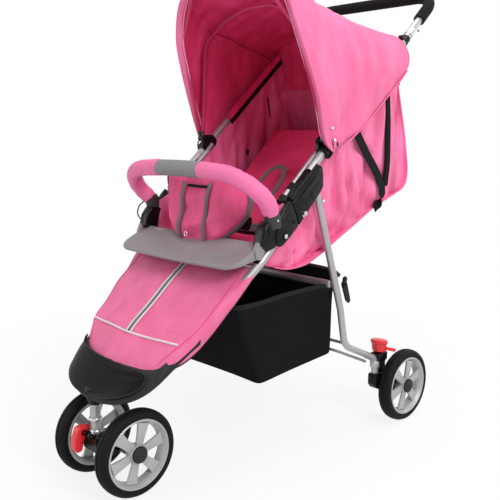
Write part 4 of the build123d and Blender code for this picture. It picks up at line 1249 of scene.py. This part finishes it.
for side, hand in ((1, "left"), (-1, "right")):
    padded_sleeve = piece(f"bumper_pad_{hand}", sleeve(side), "bumper", "sleeve",
                          ["bumper_sleeves"] if side == 1 else [], round_off=1)
middle = rod(path([(-70, -207.5, 638), (-35, -210, 639.2), (0, -211, 639.6), (35, -210, 639.2),
                   (84, -206, 637.4)]), 17.3, 8, sides=7)
piece("bumper_grip", rounded(middle, 2, 3, 60), "bumper", "grey_grip", ["bumper_middle_grip"],
      smooth=50)
core = bmesh.new()
for side in (1, -1):
    join(core, rod(path([(199, -126, 540), *BUMPER], side), 9, 8))
piece("bumper_core", core, "bumper", "steel", ["bumper_bar"])
loops = bmesh.new()
for side in (1, -1):
    join(loops,
         rod(path([(205, -146, 552), (211, -158, 540), (212, -163, 522), (205, -158, 508),
                   (198, -146, 506)], side), 1.5, 6))
piece("bumper_loops", loops, "frame", "strap")

# ---------------------------------------------------------------- crotch pouch

# z, half width, side y, front y, back y
POUCH = [(634, 116, -134, -140, -126), (620, 124, -132, -146, -120), (598, 130, -126, -155, -110),
         (572, 130, -121, -163, -102), (545, 127, -125, -167, -104), (520, 108, -133, -172, -112),
         (498, 84, -146, -174, -126), (483, 60, -154, -172, -140), (477, 46, -157, -166, -150)]
TAPES_X = (-39, 39)
POUCH_ROUND = 0.75


def pouch_row(v):
    """The measures of POUCH at a share of the way down."""
    place = v * (len(POUCH) - 1)
    row = min(int(place), len(POUCH) - 2)
    return [a + (b - a) * (place - row) for a, b in zip(POUCH[row], POUCH[row + 1])]


def pouch_spot(u, v, lift=0.0):
    """u runs round the pouch from its left side over the front, v from the top down."""
    z, half, side_y, front_y, back_y = pouch_row(v)
    turn = u * 2 * math.pi
    x = math.cos(turn)
    x = math.copysign(abs(x) ** POUCH_ROUND, x) * (half + lift)
    bow_out = abs(math.sin(turn)) ** 0.85
    far_y = front_y - lift if math.sin(turn) >= 0 else back_y
    y = side_y + (far_y - side_y) * bow_out
    soft = noise_at(x * 0.014, z * 0.03, 5) * 8 + noise_at(x * 0.05, z * 0.045, 1) * 4.5
    soft *= 1.25 - 1.05 * max(math.exp(-((x - tape) / 15) ** 2) for tape in TAPES_X)
    low_fold = 3.5 * math.exp(-((z - 520 - x * 0.22) / 9) ** 2)
    high_fold = 3.2 * math.exp(-((z - 548 + x * 0.15) / 11) ** 2) * (abs(x) > 25)
    soft += low_fold - high_fold
    for tape in TAPES_X:
        soft -= 3.6 * math.exp(-((x - tape) / 8) ** 2)
    return mm(x, y - soft * math.sin(turn), z)


pouch_shape = closed_skin(44, 96, pouch_spot)
pouch = piece("crotch_pouch", pouch_shape, "frame", "pouch", ["crotch_panel"], round_off=1)


def pouch_line(x0, x1, low, high, lift, count=14):
    """Points down the front of the pouch between two x places."""
    found = []
    for i in range(count + 1):
        v = low + (high - low) * i / count
        x = x0 + (x1 - x0) * i / count
        ratio = max(-1.0, min(1.0, x / pouch_row(v)[1]))
        turn = math.acos(math.copysign(abs(ratio) ** (1 / POUCH_ROUND), ratio))
        found.append(pouch_spot(turn / (2 * math.pi), v, lift))
    return found


tapes = bmesh.new()
for x0, x1 in ((-41, -36), (41, 35)):
    join(tapes, band(pouch_line(x0, x1, 0.2, 0.97, 5.2, 5), 9.5, 1.4, (1, 0, 0)))
piece("pouch_tapes", tapes, "frame", "webbing")
flap_line = [pouch_line(x, x, 0.245, 0.25, 2.6, 1)[0] for x in range(-30, 46, 6)]
piece("pouch_slot", rod(flap_line, 3.2, 4), "frame", "strap")
RING = 4.5
ring_middle = pouch_line(-12, -12, 0.77, 0.78, 3.6, 1)[0]
ring_line = [ring_middle + mm(RING * math.cos(k * math.pi / 6), 0, RING * math.sin(k * math.pi / 6))
             for k in range(13)]
piece("pouch_ring", rod(ring_line, 1.1, 2), "frame", "steel")
pouch_binding = band([pouch_spot(0.0, 0.16 + 0.72 * i / 16, 1.2) for i in range(17)], 13, 2, (0, 1, 0))
piece("pouch_binding", mirrored(pouch_binding), "frame", "webbing")

# ---------------------------------------------------------------- tray

TRAY_DROP = math.radians(25.5)
TRAY_REAR_Y, TRAY_REAR_Z = -148, 495


def tray_spot(x, back, up):
    """A place on the tray from its rear edge: back towards the front along the slope, up off the slope."""
    return mm(x, TRAY_REAR_Y - back * math.cos(TRAY_DROP) - up * math.sin(TRAY_DROP),
              TRAY_REAR_Z - back * math.sin(TRAY_DROP) + up * math.cos(TRAY_DROP))


tray_shape = box(-196, 196, -93, 0, -14, 0)
upright_edges = [e for e in tray_shape.edges if abs(e.verts[0].co.z - e.verts[1].co.z) > 0.01
                 and e.verts[0].co.y < -0.05]
bmesh.ops.bevel(tray_shape, geom=upright_edges, offset=0.032, segments=10, affect="EDGES", profile=0.5,
                material=-1)
for x in range(-160, 161, 16):
    bmesh.ops.bisect_plane(tray_shape, geom=everything(tray_shape), plane_co=mm(x, 0, 0),
                           plane_no=(1, 0, 0))
rounded(tray_shape, 3.6, 4, 50)
for vert in tray_shape.verts:
    x, back, up = vert.co.x * 1000, -vert.co.y * 1000, vert.co.z * 1000
    if up < -5:
        up -= 16 * max(0.0, 1 - back / 62) * min(1.0, max(0.0, (abs(x) - 176) / 10))
        up += 5 * min(1.0, max(0.0, (back - 55) / 30))
    if back > 50:
        back += 6 * (1 - (x / 196) ** 2) * min(1, (back - 50) / 35)
    vert.co = tray_spot(x, back, up)
for x0, x1 in ((-134, -118), (118, 134)):
    lug = slab([(-172, 481), (-149, 492), (-138, 482), (-134, 466), (-146, 458), (-160, 466)], x0, x1)
    join(tray_shape, rounded(lug, 2))
piece("tray_board", tray_shape, "frame", "grey", ["seat_tray"], smooth=38)
marks = bmesh.new()
for x in (-150, -136):
    join(marks, band([tray_spot(x, 13, 0.5), tray_spot(x + 22, 10, 0.5)], 2.2, 1.4, (0, 1, 0)))
join(marks, band([tray_spot(96, 60, 0.3), tray_spot(118, 64, 0.3), tray_spot(150, 58, 0.3)], 1.6, 0.8,
                 (0, 1, 0)))
piece("tray_marks", marks, "frame", "tray_mark")
brackets = bmesh.new()
for side in (1, -1):
    join(brackets,
         rounded(slab([(-168, 499), (-154, 497), (-148, 478), (-158, 462), (-172, 464), (-176, 482)],
                      side * 191, side * 201), 2))
piece("tray_brackets", brackets, "frame", "grey")

# ---------------------------------------------------------------- seat


def stuffed(name, node, body, look, held, cap):
    """A pad blown up inside the outline of its solid."""
    made = piece(name, puffed(copy_of(node), held, cap=cap), body, look, [node], round_off=1)


def back_seams(point):
    """The backrest pad: four straight seams and a curved cross seam near the top."""
    rise = (point.z - 0.462) / 0.25
    for x in (0.054, -0.054, 0.118, -0.118):
        if abs(point.x - x) < 0.004:
            return 0.9
    off_seam = abs(rise - 0.74 + 0.25 * (point.x / 0.1) ** 2)
    return 0.9 if abs(point.x) < 0.09 and off_seam < 0.016 else 0.0


def seat_seams(point):
    return 0.9 if abs(abs(point.x) - 0.07) < 0.004 else 0.0


stuffed("backrest_cushion", "backrest_pad", "backrest", "magenta", back_seams, 12)
stuffed("seat_cushion", "seat_pad", "frame", "magenta", seat_seams, 9)

# harness: a grey loop on the backrest and the lap strap
harness = bmesh.new()
loop = [(-32, 556), (-35, 576), (-35, 594), (-31, 612), (-19, 625), (0, 629), (19, 625), (31, 612),
        (35, 594), (35, 576), (32, 556)]
join(harness, band([mm(x - 6, (z - 497) * 0.986 - 20, z) for x, z in loop], 12, 2.4, (0.9, 0.25, 0.25)))
piece("harness_straps", harness, "backrest", "webbing", ["harness"])
lap_straps = bmesh.new()
lap = [(-118, 70, 520), (-92, 40, 508), (-60, 12, 498), (-20, -14, 496), (20, -14, 496), (60, 12, 498),
       (92, 40, 508), (118, 70, 520)]
join(lap_straps, band(path(lap), 17, 2.2, (0, 0.5, 1)))
crotch_strap = [(0, -70, 486), (0, -44, 498), (0, -14, 506)]
join(lap_straps, band(path(crotch_strap), 17, 2.2, (1, 0, 0)))
piece("harness_lap", lap_straps, "frame", "webbing")
buckle = box(-22, 22, -24, -8, 490, 520, 4)
join(buckle, box(-13, 13, -28, -20, 497, 512, 2.5))
piece("harness_buckle", buckle, "frame", "black")

# ---------------------------------------------------------------- camera, floor and light

camera = bpy.data.objects.new("camera", bpy.data.cameras.new("camera"))
scene.collection.objects.link(camera)
CAMERA_PLACE = (1169.7, -1134.75, 720.5)
azimuth, elevation = math.radians(45.753), math.radians(8.948)
camera_back = Vector((math.sin(azimuth) * math.cos(elevation), -math.cos(azimuth) * math.cos(elevation),
                      math.sin(elevation)))
camera_right = Vector((math.cos(azimuth), math.sin(azimuth), 0))
camera_up = camera_back.cross(camera_right)
camera_turn = Matrix((camera_right, camera_up, camera_back)).transposed().to_4x4()
camera.matrix_world = Matrix.Translation(mm(*CAMERA_PLACE)) @ camera_turn
camera.data.lens, camera.data.sensor_width = 50.66, 36
camera.data.shift_y = -0.0205
scene.camera = camera

floor_shape = bmesh.new()
bmesh.ops.create_grid(floor_shape, x_segments=1, y_segments=1, size=9)
floor_mesh = bpy.data.meshes.new("floor")
floor_shape.to_mesh(floor_mesh)
floor = bpy.data.objects.new("floor", floor_mesh)
scene.collection.objects.link(floor)
pale = Finish("pale_floor", (0.92, 0.92, 0.92), 0.7, Specular_IOR_Level=0.05)
# seen by the camera the floor melts into the white backdrop and keeps a soft shadow near the wheels
sight = (pale.node("ShaderNodeLightPath", output="Is Camera Ray")
         + pale.node("ShaderNodeLightPath", output="Is Glossy Ray")
         + pale.node("ShaderNodeLightPath", output="Is Transmission Ray"))
distance = pale.node("ShaderNodeVectorMath", {"operation": "LENGTH"},
                     {0: pale.node("ShaderNodeTexCoord", output="Object")}, "Value")
ease = pale.node("ShaderNodeMapRange", {"interpolation_type": "SMOOTHSTEP"},
                 {"Value": distance, "From Min": 0.5, "From Max": 1.5, "To Min": 0.84, "To Max": 1.0})
glow = pale.tree.nodes.new("ShaderNodeEmission")
glow.inputs["Color"].default_value = (1, 1, 1, 1)
surface = pale.tree.nodes.new("ShaderNodeMixShader")
pale.tree.links.new((ease * sight).socket, surface.inputs[0])
pale.tree.links.new(pale.shader.outputs[0], surface.inputs[1])
pale.tree.links.new(glow.outputs[0], surface.inputs[2])
pale.tree.links.new(surface.outputs[0], pale.tree.nodes["Material Output"].inputs["Surface"])
floor_mesh.materials.append(pale.material)

world = bpy.data.worlds.new("studio")
scene.world = world
world.use_nodes = True
tree = world.node_tree
backdrop = tree.nodes["Background"]
backdrop.inputs["Color"].default_value = (1, 1, 1, 1)
rays = tree.nodes.new("ShaderNodeLightPath")
seen = rays.outputs["Is Camera Ray"]
for kind in ("Is Glossy Ray", "Is Transmission Ray"):
    either = tree.nodes.new("ShaderNodeMath")
    either.operation = "MAXIMUM"
    tree.links.new(seen, either.inputs[0])
    tree.links.new(rays.outputs[kind], either.inputs[1])
    seen = either.outputs[0]
level = tree.nodes.new("ShaderNodeMapRange")
level.inputs["To Min"].default_value, level.inputs["To Max"].default_value = 0.34, 1.0
tree.links.new(seen, level.inputs["Value"])
tree.links.new(level.outputs["Result"], backdrop.inputs["Strength"])


def softbox(name, place, aim, size, power):
    lamp = bpy.data.objects.new(name, bpy.data.lights.new(name, "AREA"))
    scene.collection.objects.link(lamp)
    lamp.data.shape, lamp.data.size, lamp.data.size_y, lamp.data.energy = "RECTANGLE", *size, power
    lamp.location = place
    lamp.rotation_euler = (Vector(aim) - Vector(place)).to_track_quat("-Z", "Y").to_euler()


softbox("key", (2.4, -0.7, 2.1), (0, 0, 0.55), (1.1, 1.1), 54)
softbox("top", (0.2, 0.3, 2.9), (0, 0, 0.5), (1.6, 1.6), 32)
softbox("fill", (-1.6, -2.3, 1.3), (0, 0, 0.5), (1.8, 1.8), 22)
softbox("rim", (0.9, 2.3, 1.6), (0, 0, 0.6), (1.4, 1.4), 12)

scene.view_settings.view_transform = "Standard"
